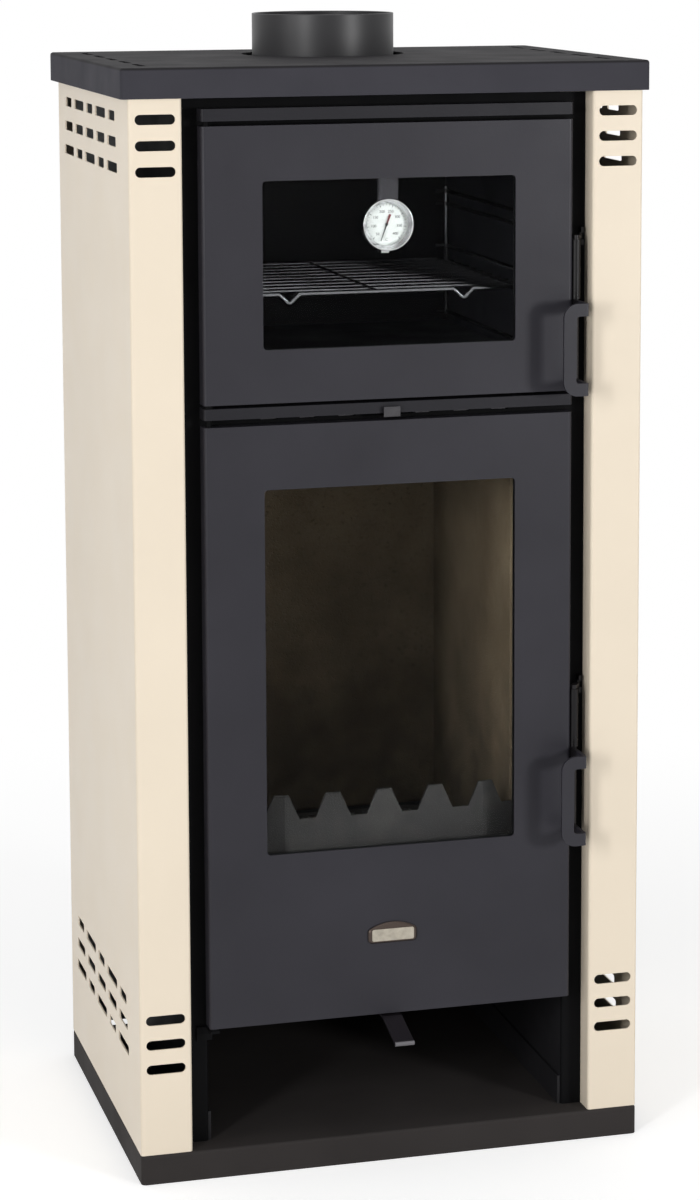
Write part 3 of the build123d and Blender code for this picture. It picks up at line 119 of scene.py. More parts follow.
world = bpy.data.worlds.new("white_studio")
scene.world = world
world.use_nodes = True
tree = world.node_tree
background = tree.nodes["Background"]
background.inputs["Color"].default_value = (1.0, 1.0, 1.0, 1.0)
strength = tree.nodes.new("ShaderNodeMapRange")
strength.inputs["To Min"].default_value = AMBIENT_LIGHT
strength.inputs["To Max"].default_value = 1.0
tree.links.new(seen_directly(tree), strength.inputs["Value"])
tree.links.new(strength.outputs["Result"], background.inputs["Strength"])

FLOOR_HALF = 40.0
FLOOR_COLOUR = (0.82, 0.82, 0.82, 1.0)
FLOOR_LIFT = 0.5
SHADOW_RADIUS = 0.55
WHITE_RADIUS = 1.6

floor_mesh = bmesh.new()
bmesh.ops.create_grid(floor_mesh, x_segments=1, y_segments=1, size=FLOOR_HALF)
floor_data = bpy.data.meshes.new("studio_floor")
floor_mesh.to_mesh(floor_data)
floor_mesh.free()
studio_floor = bpy.data.objects.new("studio_floor", floor_data)
scene.collection.objects.link(studio_floor)

floor_finish = bpy.data.materials.new("studio_floor")
floor_finish.use_nodes = True
tree = floor_finish.node_tree
tree.nodes.clear()
floor_output = tree.nodes.new("ShaderNodeOutputMaterial")
floor_paint = tree.nodes.new("ShaderNodeBsdfDiffuse")
floor_paint.inputs["Color"].default_value = FLOOR_COLOUR
floor_glow = tree.nodes.new("ShaderNodeEmission")
lift = tree.nodes.new("ShaderNodeMath")
lift.operation = "MULTIPLY"
lift.inputs[1].default_value = FLOOR_LIFT
tree.links.new(seen_directly(tree), lift.inputs[0])
tree.links.new(lift.outputs[0], floor_glow.inputs["Strength"])
near_floor = tree.nodes.new("ShaderNodeAddShader")
tree.links.new(floor_paint.outputs[0], near_floor.inputs[0])
tree.links.new(floor_glow.outputs[0], near_floor.inputs[1])
far_floor = tree.nodes.new("ShaderNodeEmission")
place = tree.nodes.new("ShaderNodeTexCoord")
distance = tree.nodes.new("ShaderNodeVectorMath")
distance.operation = "LENGTH"
tree.links.new(place.outputs["Object"], distance.inputs[0])
fade = tree.nodes.new("ShaderNodeMapRange")
fade.interpolation_type = "SMOOTHSTEP"
fade.inputs["From Min"].default_value = SHADOW_RADIUS
fade.inputs["From Max"].default_value = WHITE_RADIUS
tree.links.new(distance.outputs["Value"], fade.inputs["Value"])
white_share = tree.nodes.new("ShaderNodeMath")
white_share.operation = "MULTIPLY"
tree.links.new(fade.outputs["Result"], white_share.inputs[0])
tree.links.new(seen_directly(tree), white_share.inputs[1])
blend = tree.nodes.new("ShaderNodeMixShader")
tree.links.new(white_share.outputs[0], blend.inputs[0])
tree.links.new(near_floor.outputs[0], blend.inputs[1])
tree.links.new(far_floor.outputs[0], blend.inputs[2])
tree.links.new(blend.outputs[0], floor_output.inputs["Surface"])
floor_data.materials.append(floor_finish)


def soft_lamp(name, place, target, width, height, watts):
    """Rectangular soft box that faces a point on the stove."""
    lamp_data = bpy.data.lights.new(name, "AREA")
    lamp_data.shape = "RECTANGLE"
    lamp_data.size, lamp_data.size_y = width, height
    lamp_data.energy = watts
    lamp = bpy.data.objects.new(name, lamp_data)
    scene.collection.objects.link(lamp)
    lamp.visible_camera = False
    lamp.location = place
    lamp.rotation_euler = (Vector(place) - Vector(target)).to_track_quat("Z", "Y").to_euler()
    return lamp


STOVE_MIDDLE = (0.0, 0.0, 0.6)
DOOR_EDGE = (-0.2, -0.17, 0.75)
HANDLE_SIDE = (0.1, -0.2, 0.65)
lamps = [
    soft_lamp("key_right", (2.05, -3.05, 1.05), HANDLE_SIDE, 0.55, 0.55, 47.0),
    soft_lamp("fill_front_left", (-1.2, -3.6, 2.1), STOVE_MIDDLE, 2.0, 2.2, 4.0),
    soft_lamp("side_left", (-3.6, -1.5, 1.3), STOVE_MIDDLE, 1.2, 1.8, 18.0),
    soft_lamp("edge_strip", (-2.3, -2.4, 1.4), DOOR_EDGE, 0.35, 1.5, 36.0),
    soft_lamp("overhead", (0.0, 0.2, 3.4), STOVE_MIDDLE, 2.6, 2.6, 24.0),
]
print("lamps:", [lamp.name for lamp in lamps])

# %% [markdown]
# ## Building blocks for the finishes
#
# Every finish starts from one Principled shader. What makes it look real is small change across the
# surface: a little drift in colour, a little in gloss, a fine bump, and edges where the coat is thinner.
# The patterns read Object coordinates, which are metres here, so their sizes can be thought of as real
# sizes: a noise scale of 1000 has features of about a millimetre.

# %% Helpers for node materials
EDGE_RADIUS = 0.0012
SCUFF_SHARE = 0.4
TARNISH = 0.72


class Finish:
    """One material under construction: its node tree, its Principled shader and Object coordinates."""

    def __init__(self, name, colour, roughness, metallic=0.0):
        self.material = bpy.data.materials.new(name)
        self.material.use_nodes = True
        self.tree = self.material.node_tree
        self.shader = self.tree.nodes["Principled BSDF"]
        self.coordinates = self.tree.nodes.new("ShaderNodeTexCoord").outputs["Object"]
        self.shader.inputs["Base Color"].default_value = (*colour, 1.0)
        self.shader.inputs["Roughness"].default_value = roughness
        self.shader.inputs["Metallic"].default_value = metallic

    def link(self, output, target):
        self.tree.links.new(output, target)

    def stretched(self, scale):
        """Object coordinates, scaled differently along each axis."""
        mapping = self.tree.nodes.new("ShaderNodeMapping")
        mapping.inputs["Scale"].default_value = scale
        self.link(self.coordinates, mapping.inputs["Vector"])
        return mapping.outputs["Vector"]

    def noise(self, scale, detail=3.0, rough=0.5, coordinates=None):
        """Soft random pattern, from 0 to 1."""
        texture = self.tree.nodes.new("ShaderNodeTexNoise")
        texture.inputs["Scale"].default_value = scale
        texture.inputs["Detail"].default_value = detail
        texture.inputs["Roughness"].default_value = rough
        self.link(coordinates or self.coordinates, texture.inputs["Vector"])
        return texture.outputs["Fac"]

    def cells(self, scale):
        """Distance to scattered points, for grains, pits and flakes."""
        texture = self.tree.nodes.new("ShaderNodeTexVoronoi")
        texture.inputs["Scale"].default_value = scale
        self.link(self.coordinates, texture.inputs["Vector"])
        return texture.outputs["Distance"]

    def ribs(self, scale, direction):
        """Even ribs across one axis, from 0 to 1."""
        texture = self.tree.nodes.new("ShaderNodeTexWave")
        texture.bands_direction = direction
        texture.inputs["Scale"].default_value = scale
        texture.inputs["Distortion"].default_value = 0.0
        self.link(self.coordinates, texture.inputs["Vector"])
        return texture.outputs["Fac"]

    def spread(self, value, low, high, to_low=0.0, to_high=1.0):
        """The part of a pattern between two levels, stretched to a new range."""
        node = self.tree.nodes.new("ShaderNodeMapRange")
        node.clamp = True
        for name, number in (("From Min", low), ("From Max", high), ("To Min", to_low), ("To Max", to_high)):
            node.inputs[name].default_value = number
        self.link(value, node.inputs["Value"])
        return node.outputs["Result"]

    def times(self, first, second):
        """Product of two patterns."""
        node = self.tree.nodes.new("ShaderNodeMath")
        node.operation = "MULTIPLY"
        self.link(first, node.inputs[0])
        self.link(second, node.inputs[1])
        return node.outputs[0]

    def colours(self, share, first, second):
        """Mix of two colours, either of which may come from nodes."""
        node = self.tree.nodes.new("ShaderNodeMix")
        node.data_type = "RGBA"
        self.link(share, node.inputs["Factor"])
        for socket, colour in ((node.inputs[6], first), (node.inputs[7], second)):
            if isinstance(colour, tuple):
                socket.default_value = (*colour, 1.0)
            else:
                self.link(colour, socket)
        return node.outputs[2]

    def axis(self, letter):
        """Where a point lies along one axis of the stove, in metres."""
        split = self.tree.nodes.new("ShaderNodeSeparateXYZ")
        self.link(self.coordinates, split.inputs[0])
        return split.outputs[letter]

    def edges(self):
        """1 along convex and concave edges, where handling and heat thin a coat."""
        rounded = self.tree.nodes.new("ShaderNodeBevel")
        rounded.samples = 4
        rounded.inputs["Radius"].default_value = EDGE_RADIUS
        geometry = self.tree.nodes.new("ShaderNodeNewGeometry")
        compare = self.tree.nodes.new("ShaderNodeVectorMath")
        compare.operation = "DOT_PRODUCT"
        self.link(rounded.outputs["Normal"], compare.inputs[0])
        self.link(geometry.outputs["True Normal"], compare.inputs[1])
        return self.spread(compare.outputs["Value"], 0.995, 0.85)

    def bump(self, pattern, depth):
        """Raises the surface by a pattern. Depth is in metres."""
        node = self.tree.nodes.new("ShaderNodeBump")
        node.inputs["Strength"].default_value = 1.0
        node.inputs["Distance"].default_value = depth
        self.link(pattern, node.inputs["Height"])
        earlier = self.shader.inputs["Normal"].links
        if earlier:
            self.link(earlier[0].from_socket, node.inputs["Normal"])
        self.link(node.outputs["Normal"], self.shader.inputs["Normal"])

    def colour_from(self, output):
        self.link(output, self.shader.inputs["Base Color"])

    def roughness_from(self, output):
        self.link(output, self.shader.inputs["Roughness"])


# %% [markdown]
# ## Sheet metal finishes
#
# The doors, the top plate and the base wear a matt paint that takes heat. It is sprayed, so it has a fine
# orange-peel grain, slightly uneven gloss and a faintly lighter line where it pulls back from an edge. The
# cream casings have a smoother enamel with a soft shine. One function makes all of these, with the grain,
# gloss and drift as numbers, because they are the same kind of coat.

# %% Painted sheet
def painted_sheet(
    name, colour, roughness, grain_depth, shine=0.3, drift=0.12, edge_gain=1.35, gloss_spread=0.06
):
    """Sprayed coat on folded sheet steel."""
    finish = Finish(name, colour, roughness)
    finish.shader.inputs["Specular IOR Level"].default_value = shine
    lighter = tuple(min(1.0, value * (1 + drift)) for value in colour)
    darker = tuple(value * (1 - drift) for value in colour)
    worn = tuple(min(1.0, value * edge_gain) for value in colour)
    cloud = finish.spread(finish.noise(7.0, 5.0), 0.3, 0.7)
    coat = finish.colours(cloud, darker, lighter)
    scuffs = finish.spread(finish.noise(60.0, 6.0, 0.65), 0.52, 0.75)
    edge = finish.times(finish.edges(), finish.spread(finish.noise(35.0, 4.0), 0.35, 0.65, 0.35, 1.0))
    finish.colour_from(finish.colours(edge, coat, worn))
    patches = finish.noise(18.0, 4.0)
    finish.roughness_from(
        finish.spread(patches, 0.3, 0.7, roughness - gloss_spread, roughness + gloss_spread)
    )
    finish.bump(finish.noise(900.0, 2.0), grain_depth)
    finish.bump(scuffs, grain_depth * SCUFF_SHARE)
    return finish


CHARCOAL = (0.026, 0.025, 0.0315)
# The rails' charcoal is a darker copy of the doors' paint: painted shade for the shade under the top plate
# and between the doors.
SHADED_RAIL_CHARCOAL = (0.015, 0.0145, 0.018)
RIM_CHARCOAL = (0.045, 0.044, 0.053)
SHADED_COOKTOP_CHARCOAL = (0.019, 0.018, 0.02)
COLLAR_CHARCOAL = (0.010, 0.0095, 0.0115)
BASE_CHARCOAL = (0.038, 0.034, 0.033)
LEVER_BLACK = (0.014, 0.012, 0.015)
CREAM = (0.86, 0.755, 0.61)
# The body is painted nearly black: painted shade, so that the gaps round the doors read as deep shade.
SHADED_BODY_BLACK = (0.0045, 0.0045, 0.005)
# The niche walls' black is a lighter copy of the body's: painted light where the niche walls are lit.
LIT_NICHE_BLACK = (0.014, 0.0135, 0.015)

charcoal_paint = painted_sheet("charcoal_paint", CHARCOAL, 0.4, 0.00006, shine=0.2).material
shaded_rail_paint = painted_sheet("shaded_rail_paint", SHADED_RAIL_CHARCOAL, 0.42, 0.00006, shine=0.15).material
lit_niche_paint = painted_sheet("lit_niche_paint", LIT_NICHE_BLACK, 0.5, 0.00006, shine=0.15).material
collar_paint = painted_sheet(
    "collar_paint", COLLAR_CHARCOAL, 0.42, 0.00003, shine=0.5, gloss_spread=0.02
).material
base_paint = painted_sheet("base_paint", BASE_CHARCOAL, 0.7, 0.00008, shine=0.06).material
cream_enamel = painted_sheet(
    "cream_enamel", CREAM, 0.34, 0.00003, shine=0.2, drift=0.015, edge_gain=1.04, gloss_spread=0.04
).material
body_paint = painted_sheet("body_paint", SHADED_BODY_BLACK, 0.55, 0.00008, shine=0.04, drift=0.2).material
black_clamp = painted_sheet("black_clamp", (0.012, 0.012, 0.013), 0.5, 0.00005, shine=0.2).material
latch_black = painted_sheet("latch_black", (0.004, 0.0035, 0.004), 0.3, 0.00001, shine=0.22).material
oven_enamel = painted_sheet("oven_enamel", (0.009, 0.009, 0.012), 0.4, 0.00004, shine=0.1, drift=0.2).material
print("painted finishes ready")

# %% [markdown]
# Three coats change along the piece. The plate's upper face is painted darker than its rim: painted shade for
# the dim reflection on the flat top. The lever's tip has lost its paint where it is pushed and pulled, and
# its bare steel there is also a painted highlight. The handles are charcoal at the grip and painted nearly
# black where their
# arms run back to the spindle: painted shade that sinks them into the dark gap beside the door.

# %% Coats that change along the piece
BEND_OF_THE_RIM = 0.003
TIP_WEAR_AND_HIGHLIGHT_START = 0.0016
TIP_WEAR_AND_HIGHLIGHT_FULL = 0.0008
HANDLE_SHADE_START = 0.018
HANDLE_SHADE_FULL = 0.012
WORN_STEEL_WITH_HIGHLIGHT = (0.15, 0.145, 0.155)
SPINDLE_PAINTED_SHADE = (0.008, 0.007, 0.008)


def blended_coat(finish, share, second):
    """Turns a coat into a second colour where the share is 1."""
    first = finish.shader.inputs["Base Color"].links[0].from_socket
    finish.colour_from(finish.colours(share, first, second))
    return finish.material


plate_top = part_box("top_plate")[1].z
# The upper face takes a darker colour than the rim: painted shade for the dim reflection on the flat top.
cooktop = painted_sheet("top_paint", RIM_CHARCOAL, 0.72, 0.00008, shine=0.1)
painted_shade_on_top = cooktop.spread(cooktop.axis("Z"), plate_top - BEND_OF_THE_RIM, plate_top - BEND_OF_THE_RIM / 2)
top_paint = blended_coat(cooktop, painted_shade_on_top, SHADED_COOKTOP_CHARCOAL)

lever_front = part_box("air_lever")[0].y
# The bare steel at the tip is worn paint and also a painted highlight.
lever = painted_sheet("lever_paint", LEVER_BLACK, 0.4, 0.00005, shine=0.2)
worn_and_highlit_tip = lever.spread(lever.axis("Y"), lever_front + TIP_WEAR_AND_HIGHLIGHT_START, lever_front + TIP_WEAR_AND_HIGHLIGHT_FULL)
lever_paint = blended_coat(lever, worn_and_highlit_tip, WORN_STEEL_WITH_HIGHLIGHT)

# Near the spindle the handle turns nearly black: painted shade for the dark gap beside the door.
handle_coat = painted_sheet("handle_paint", CHARCOAL, 0.38, 0.00005, shine=0.25)
door_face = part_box("fire_door_leaf")[0].y
painted_shade_at_spindle = handle_coat.spread(
    handle_coat.axis("Y"), door_face - HANDLE_SHADE_START, door_face - HANDLE_SHADE_FULL
)
handle_paint = blended_coat(handle_coat, painted_shade_at_spindle, SPINDLE_PAINTED_SHADE)
print("coats that change along the piece ready")

# %% [markdown]
# ## Bare metals
#
# Zinc-coated sheet has small pale crystals, and the ash pan's has gone dull. Cast iron is grainy and nearly
# black, and the wires and the thermometer's case are polished. Bare metals have metallic set to one, and
# their character then comes mostly from roughness and bump. The plaque's raised field is polished and its
# rim has gone dark, so it is a metal whose colour changes with depth.

# %% Metals
def bare_metal(name, colour, roughness, scratch_scale, grain, depth, spread=0.08):
    """Uncoated metal with fine scratches along one direction."""
    finish = Finish(name, colour, roughness, metallic=1.0)
    lines = finish.noise(1.0, 3.0, 0.6, finish.stretched(scratch_scale))
    finish.roughness_from(finish.spread(lines, 0.3, 0.7, max(0.03, roughness - spread), roughness + spread))
    tarnish = tuple(value * TARNISH for value in colour)
    finish.colour_from(finish.colours(finish.spread(finish.noise(grain, 5.0), 0.35, 0.75), colour, tarnish))
    finish.bump(lines, depth)
    return finish


slider_steel = bare_metal(
    "slider_steel", (0.06, 0.058, 0.062), 0.4, (400.0, 400.0, 2500.0), 60.0, 0.00002
).material
screw_steel = bare_metal(
    "screw_steel", (0.22, 0.22, 0.23), 0.38, (900.0, 900.0, 900.0), 150.0, 0.00003
).material
wire_chrome = bare_metal(
    "wire_chrome", (0.24, 0.24, 0.26), 0.15, (600.0, 600.0, 600.0), 80.0, 0.00001
).material
case_chrome = bare_metal(
    "case_chrome", (0.80, 0.80, 0.82), 0.1, (500.0, 1500.0, 500.0), 60.0, 0.00001, 0.04
).material

FIELD_DEPTH = 0.0002
RIM_DEPTH = 0.0005
DARK_RIM = (0.075, 0.058, 0.05)
plaque = bare_metal("plaque_metal", (0.46, 0.42, 0.35), 0.34, (3000.0, 200.0, 150.0), 160.0, 0.00003)
plaque_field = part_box("blank_plaque")[0].y
on_rim = plaque.spread(plaque.axis("Y"), plaque_field + FIELD_DEPTH, plaque_field + RIM_DEPTH)
plaque_metal = blended_coat(plaque, on_rim, DARK_RIM)

zinc = Finish("zinc_sheet", (0.55, 0.56, 0.57), 0.4, metallic=1.0)
spangle = zinc.cells(110.0)
zinc.colour_from(zinc.colours(zinc.spread(spangle, 0.1, 0.8), (0.54, 0.55, 0.56), (0.45, 0.46, 0.475)))
zinc.roughness_from(zinc.spread(spangle, 0.0, 1.0, 0.38, 0.5))
zinc.bump(zinc.noise(40.0, 4.0), 0.0001)
zinc_sheet = zinc.material
pan_zinc = bare_metal("pan_zinc", (0.30, 0.295, 0.29), 0.5, (300.0, 900.0, 300.0), 25.0, 0.00003).material

iron = Finish("cast_iron", (0.03, 0.03, 0.031), 0.62)
iron.shader.inputs["Specular IOR Level"].default_value = 0.15
sand = iron.noise(700.0, 4.0, 0.65)
ash_film = iron.spread(iron.noise(24.0, 6.0, 0.6), 0.5, 0.8, 0.0, 0.3)
iron.colour_from(iron.colours(ash_film, (0.030, 0.029, 0.030), (0.11, 0.105, 0.10)))
iron.roughness_from(iron.spread(sand, 0.3, 0.7, 0.52, 0.78))
iron.bump(sand, 0.0003)
cast_iron = iron.material
print("metal finishes ready")

# %% [markdown]
# ## Firebrick, rope and glass
#
# The firebricks are pressed from pale fireclay and have gone olive and brown with smoke, darkest low down.
# The door seals are glass-fibre rope and tape. The panes are clear heat-resistant glass.
# A pane casts a dark shadow when lamps are traced through it, so shadow rays pass straight through.

# %% Firebrick
clay = Finish("firebrick", (0.2, 0.16, 0.1), 0.9)
clay.shader.inputs["Specular IOR Level"].default_value = 0.1
grit = clay.noise(260.0, 6.0, 0.7)
pores = clay.spread(clay.cells(330.0), 0.0, 0.35)
fired = clay.colours(
    clay.spread(clay.noise(14.0, 5.0), 0.3, 0.7), (0.165, 0.124, 0.080), (0.250, 0.192, 0.128)
)
speckled = clay.colours(clay.spread(grit, 0.55, 0.7), fired, (0.10, 0.08, 0.05))
soot_height = clay.spread(clay.axis("Z"), 0.30, 0.62, 0.85, 0.25)
soot = clay.times(soot_height, clay.spread(clay.noise(9.0, 6.0, 0.6), 0.25, 0.6, 0.4, 1.0))
clay.colour_from(clay.colours(soot, speckled, (0.018, 0.016, 0.014)))
clay.roughness_from(clay.spread(grit, 0.3, 0.7, 0.8, 0.97))
clay.bump(pores, 0.0004)
clay.bump(grit, 0.0005)
firebrick = clay.material

# %% Rope fibre
yarn = Finish("rope_fibre", (0.36, 0.35, 0.33), 0.92)
strands = yarn.noise(1.0, 4.0, 0.6, yarn.stretched((1400.0, 1400.0, 1400.0)))
yarn.colour_from(yarn.colours(yarn.spread(strands, 0.35, 0.7), (0.22, 0.215, 0.205), (0.48, 0.47, 0.45)))
yarn.roughness_from(yarn.spread(yarn.noise(120.0), 0.3, 0.7, 0.86, 0.98))
yarn.bump(strands, 0.0004)
yarn.shader.inputs["Sheen Weight"].default_value = 0.3
rope_fibre = yarn.material

weave = Finish("woven_tape", (0.42, 0.41, 0.38), 0.9)
warp = weave.ribs(1100.0, "X")
weft = weave.ribs(1100.0, "Z")
threads = weave.times(warp, weft)
weave.colour_from(weave.colours(threads, (0.24, 0.235, 0.22), (0.50, 0.49, 0.46)))
weave.roughness_from(weave.spread(weave.noise(300.0), 0.3, 0.7, 0.84, 0.97))
weave.bump(threads, 0.0002)
woven_tape = weave.material

# %% Glass
PANE_REFLECTION = 0.04
MIRRORED_TINT = (PANE_REFLECTION, PANE_REFLECTION, PANE_REFLECTION, 1.0)


def clear_pane(name, tint, roughness, smear):
    """Clear glass that lets the lamps light what is behind it."""
    pane = Finish(name, tint, roughness)
    pane.shader.inputs["Transmission Weight"].default_value = 1.0
    pane.shader.inputs["IOR"].default_value = 1.47
    pane.shader.inputs["Specular Tint"].default_value = MIRRORED_TINT
    film = pane.spread(pane.noise(22.0, 5.0, 0.6), 0.45, 0.75, roughness, roughness + smear)
    pane.roughness_from(film)
    clear = pane.tree.nodes.new("ShaderNodeBsdfTransparent")
    clear.inputs["Color"].default_value = (0.92, 0.93, 0.92, 1.0)
    path = pane.tree.nodes.new("ShaderNodeLightPath")
    choose = pane.tree.nodes.new("ShaderNodeMixShader")
    pane.link(path.outputs["Is Shadow Ray"], choose.inputs[0])
    pane.link(pane.shader.outputs[0], choose.inputs[1])
    pane.link(clear.outputs[0], choose.inputs[2])
    pane.link(choose.outputs[0], pane.tree.nodes["Material Output"].inputs["Surface"])
    return pane.material


door_glass = clear_pane("door_glass", (0.86, 0.87, 0.86), 0.0, 0.03)
lens_glass = clear_pane("lens_glass", (0.97, 0.98, 0.98), 0.0, 0.01)
print("firebrick, rope and glass ready")

# %% [markdown]
# ## Printed and lacquered parts
#
# The dial is an off-white disc, the needle is lacquered: red on its broader tail and black on its thin
# pointer. The needle turns about its own middle, and its two colours are split by a line through that
# middle, square to the pointer.

# %% Dial and needle
dial_low, dial_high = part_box("thermometer_dial")
dial_centre = (dial_low + dial_high) / 2
NEEDLE_LEAN = math.radians(20.0)
RED_START = 0.001
RED_FULL = 0.0012

paper = Finish("dial_white", (0.74, 0.75, 0.76), 0.42)
fading = paper.spread(paper.noise(90.0, 4.0), 0.3, 0.7)
paper.colour_from(paper.colours(fading, (0.70, 0.71, 0.72), (0.78, 0.79, 0.80)))
paper.roughness_from(paper.spread(paper.noise(300.0), 0.3, 0.7, 0.36, 0.5))
paper.bump(paper.noise(1500.0), 0.00001)
dial_white = paper.material

ink = Finish("dial_ink", (0.03, 0.03, 0.035), 0.5)
ink.colour_from(ink.colours(ink.noise(1200.0), (0.02, 0.02, 0.025), (0.05, 0.05, 0.055)))
dial_ink = ink.material

lacquer = Finish("needle_lacquer", (0.22, 0.02, 0.03), 0.3)
split = lacquer.tree.nodes.new("ShaderNodeSeparateXYZ")
lacquer.link(lacquer.coordinates, split.inputs[0])
along = lacquer.tree.nodes.new("ShaderNodeVectorMath")
along.operation = "DOT_PRODUCT"
away = lacquer.tree.nodes.new("ShaderNodeVectorMath")
away.operation = "SUBTRACT"
away.inputs[1].default_value = dial_centre
lacquer.link(lacquer.coordinates, away.inputs[0])
lacquer.link(away.outputs[0], along.inputs[0])
along.inputs[1].default_value = (math.sin(NEEDLE_LEAN), 0.0, math.cos(NEEDLE_LEAN))
tail = lacquer.spread(along.outputs["Value"], RED_START, RED_FULL)
speck = lacquer.spread(lacquer.noise(900.0), 0.3, 0.7)
red = lacquer.colours(speck, (0.14, 0.008, 0.016), (0.19, 0.012, 0.022))
lacquer.colour_from(lacquer.colours(tail, (0.02, 0.02, 0.02), red))
needle_lacquer = lacquer.material
print("dial centre", tuple(round(value, 4) for value in dial_centre))

# %% [markdown]
# ## Dressing the construction model
#
# Each node keeps its shape and gets its finish here. The table reads like a parts list, grouped by finish.

# %% Give every node its finish
finishes = {
    charcoal_paint: ["oven_door_leaf", "fire_door_leaf", "thermometer_bracket"],
    shaded_rail_paint: ["top_rail", "mid_rail"],
    handle_paint: ["oven_door_handle", "fire_door_handle"],
    lever_paint: ["air_lever"],
    latch_black: ["oven_latch_barrel", "fire_latch_barrel", "oven_latch_catch", "fire_latch_catch"],
    top_paint: ["top_plate"],
    collar_paint: ["flue_collar"],
    base_paint: ["base_plate"],
    cream_enamel: ["side_panel_left", "side_panel_right"],
    body_paint: [
        "front_frame", "hinge_pins", "body_back", "body_top", "hearth_floor", "hinge_lug", "firebed",
        "ash_pan_runners", "air_wash_duct", "air_lever_guides",
    ],
    lit_niche_paint: ["body_side_left", "body_side_right", "foot_rails"],
    black_clamp: ["oven_glass_frame", "fire_glass_frame"],
    oven_enamel: ["oven_box"],
    zinc_sheet: ["rear_shield", "panel_brackets"],
    pan_zinc: ["ash_pan"],
    cast_iron: ["grate", "log_guard"],
    firebrick: ["firebrick_left", "firebrick_right", "firebrick_back", "baffle"],
    rope_fibre: ["oven_door_seal", "fire_door_seal"],
    woven_tape: ["oven_glass_gasket", "fire_glass_gasket"],
    door_glass: ["oven_door_glass", "fire_door_glass"],
    lens_glass: ["thermometer_lens"],
    slider_steel: ["air_slider"],
    screw_steel: ["rear_screws", "oven_glass_screws", "fire_glass_screws"],
    wire_chrome: ["rack_ladder_left", "rack_ladder_right", "oven_rack"],
    case_chrome: ["thermometer_case"],
    plaque_metal: ["blank_plaque"],
    dial_white: ["thermometer_dial"],
    needle_lacquer: ["thermometer_needle"],
}
for finish, names in finishes.items():
    for name in names:
        for holder in nodes[name].material_slots:
            holder.material = finish
dressed = sum(len(names) for names in finishes.values())
print("dressed", dressed, "of", len(nodes), "nodes")


# %% [markdown]
# ## Adding pieces
#
# New pieces are built in bmesh and stored with their place in the mesh, so their objects stay at the
# origin. A small helper turns a finished bmesh into an object, gives it its finish and fixes it to the
# body that it moves with.

# %% Helper that stores a new piece
MERGE_DISTANCE = 0.000001


def add_piece(name, mesh_in_progress, material, body, smooth_below=None):
    """Object from a bmesh, riding on a body. Faces meeting below an angle are shaded smooth."""
    data = bpy.data.meshes.new(name)
    mesh_in_progress.to_mesh(data)
    mesh_in_progress.free()
    piece = bpy.data.objects.new(name, data)
    scene.collection.objects.link(piece)
    data.materials.append(material)
    if smooth_below is not None:
        data.shade_smooth()
        data.set_sharp_from_angle(angle=math.radians(smooth_below))
    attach(piece, body)
    print(name, "faces:", len(data.polygons))
    return piece


# %% [markdown]
# ## The thermometer's print
#
# The dial carries a ring of fine ticks and plain numbers. A tick is one thin box moved out to the rim and
# turned into place; the numbers are text, turned into meshes and stood upright round the dial.

# %% Ticks on the dial
DIAL_FRONT = dial_low.y
INK_THICKNESS = 0.00012
TICK_OUTER = 0.0204
SCALE_START = math.radians(-136.5)
SCALE_END = math.radians(136.5)
SCALE_STEPS = 28
STEPS_PER_NUMBER = 4

tick_mesh = bmesh.new()
for step in range(SCALE_STEPS + 1):
    major = step % STEPS_PER_NUMBER == 0
    length = 0.0026 if major else 0.0016
    width = 0.0005 if major else 0.00028
    angle = SCALE_START + (SCALE_END - SCALE_START) * step / SCALE_STEPS
    shape = (
        Matrix.Translation(Vector((dial_centre.x, DIAL_FRONT - INK_THICKNESS / 2, dial_centre.z)))
        @ Matrix.Rotation(angle, 4, "Y")
        @ Matrix.Translation((0.0, 0.0, TICK_OUTER - length / 2))
        @ Matrix.Diagonal((width, INK_THICKNESS, length, 1.0))
    )
    bmesh.ops.create_cube(tick_mesh, size=1.0, matrix=shape)
dial_ticks = add_piece("dial_ticks", tick_mesh, dial_ink, "oven_door")

# %% Numbers on the dial
NUMBER_RING = 0.0133
NUMBER_SIZE = 0.0039
DEGREES_PER_NUMBER = 50
UNIT_DROP = 0.002


def text_mesh(words, size):
    """Mesh of a short text, lying in the XY plane and centred on the origin."""
    curve = bpy.data.curves.new("number", "FONT")
    curve.body = words
    curve.size = size
    curve.align_x = "CENTER"
    curve.align_y = "CENTER"
    curve.extrude = INK_THICKNESS / 2
    holder = bpy.data.objects.new("number", curve)
    scene.collection.objects.link(holder)
    bpy.context.view_layer.update()
    mesh = bpy.data.meshes.new_from_object(holder)
    bpy.data.objects.remove(holder)
    return mesh


number_mesh = bmesh.new()
for index in range(SCALE_STEPS // STEPS_PER_NUMBER + 1):
    angle = SCALE_START + (SCALE_END - SCALE_START) * index * STEPS_PER_NUMBER / SCALE_STEPS
    figure = text_mesh(str(DEGREES_PER_NUMBER * (index + 1)), NUMBER_SIZE)
    place = Vector((
        dial_centre.x + NUMBER_RING * math.sin(angle),
        DIAL_FRONT - INK_THICKNESS / 2,
        dial_centre.z + NUMBER_RING * math.cos(angle),
    ))
    figure.transform(Matrix.Translation(place) @ Matrix.Rotation(math.pi / 2, 4, "X"))
    number_mesh.from_mesh(figure)
    bpy.data.meshes.remove(figure)
unit = text_mesh("C", NUMBER_SIZE)
unit_height = dial_centre.z - NUMBER_RING - UNIT_DROP
unit_place = Vector((dial_centre.x, DIAL_FRONT - INK_THICKNESS / 2, unit_height))
unit.transform(Matrix.Translation(unit_place) @ Matrix.Rotation(math.pi / 2, 4, "X"))
number_mesh.from_mesh(unit)
bpy.data.meshes.remove(unit)
bmesh.ops.remove_doubles(number_mesh, verts=number_mesh.verts, dist=MERGE_DISTANCE)
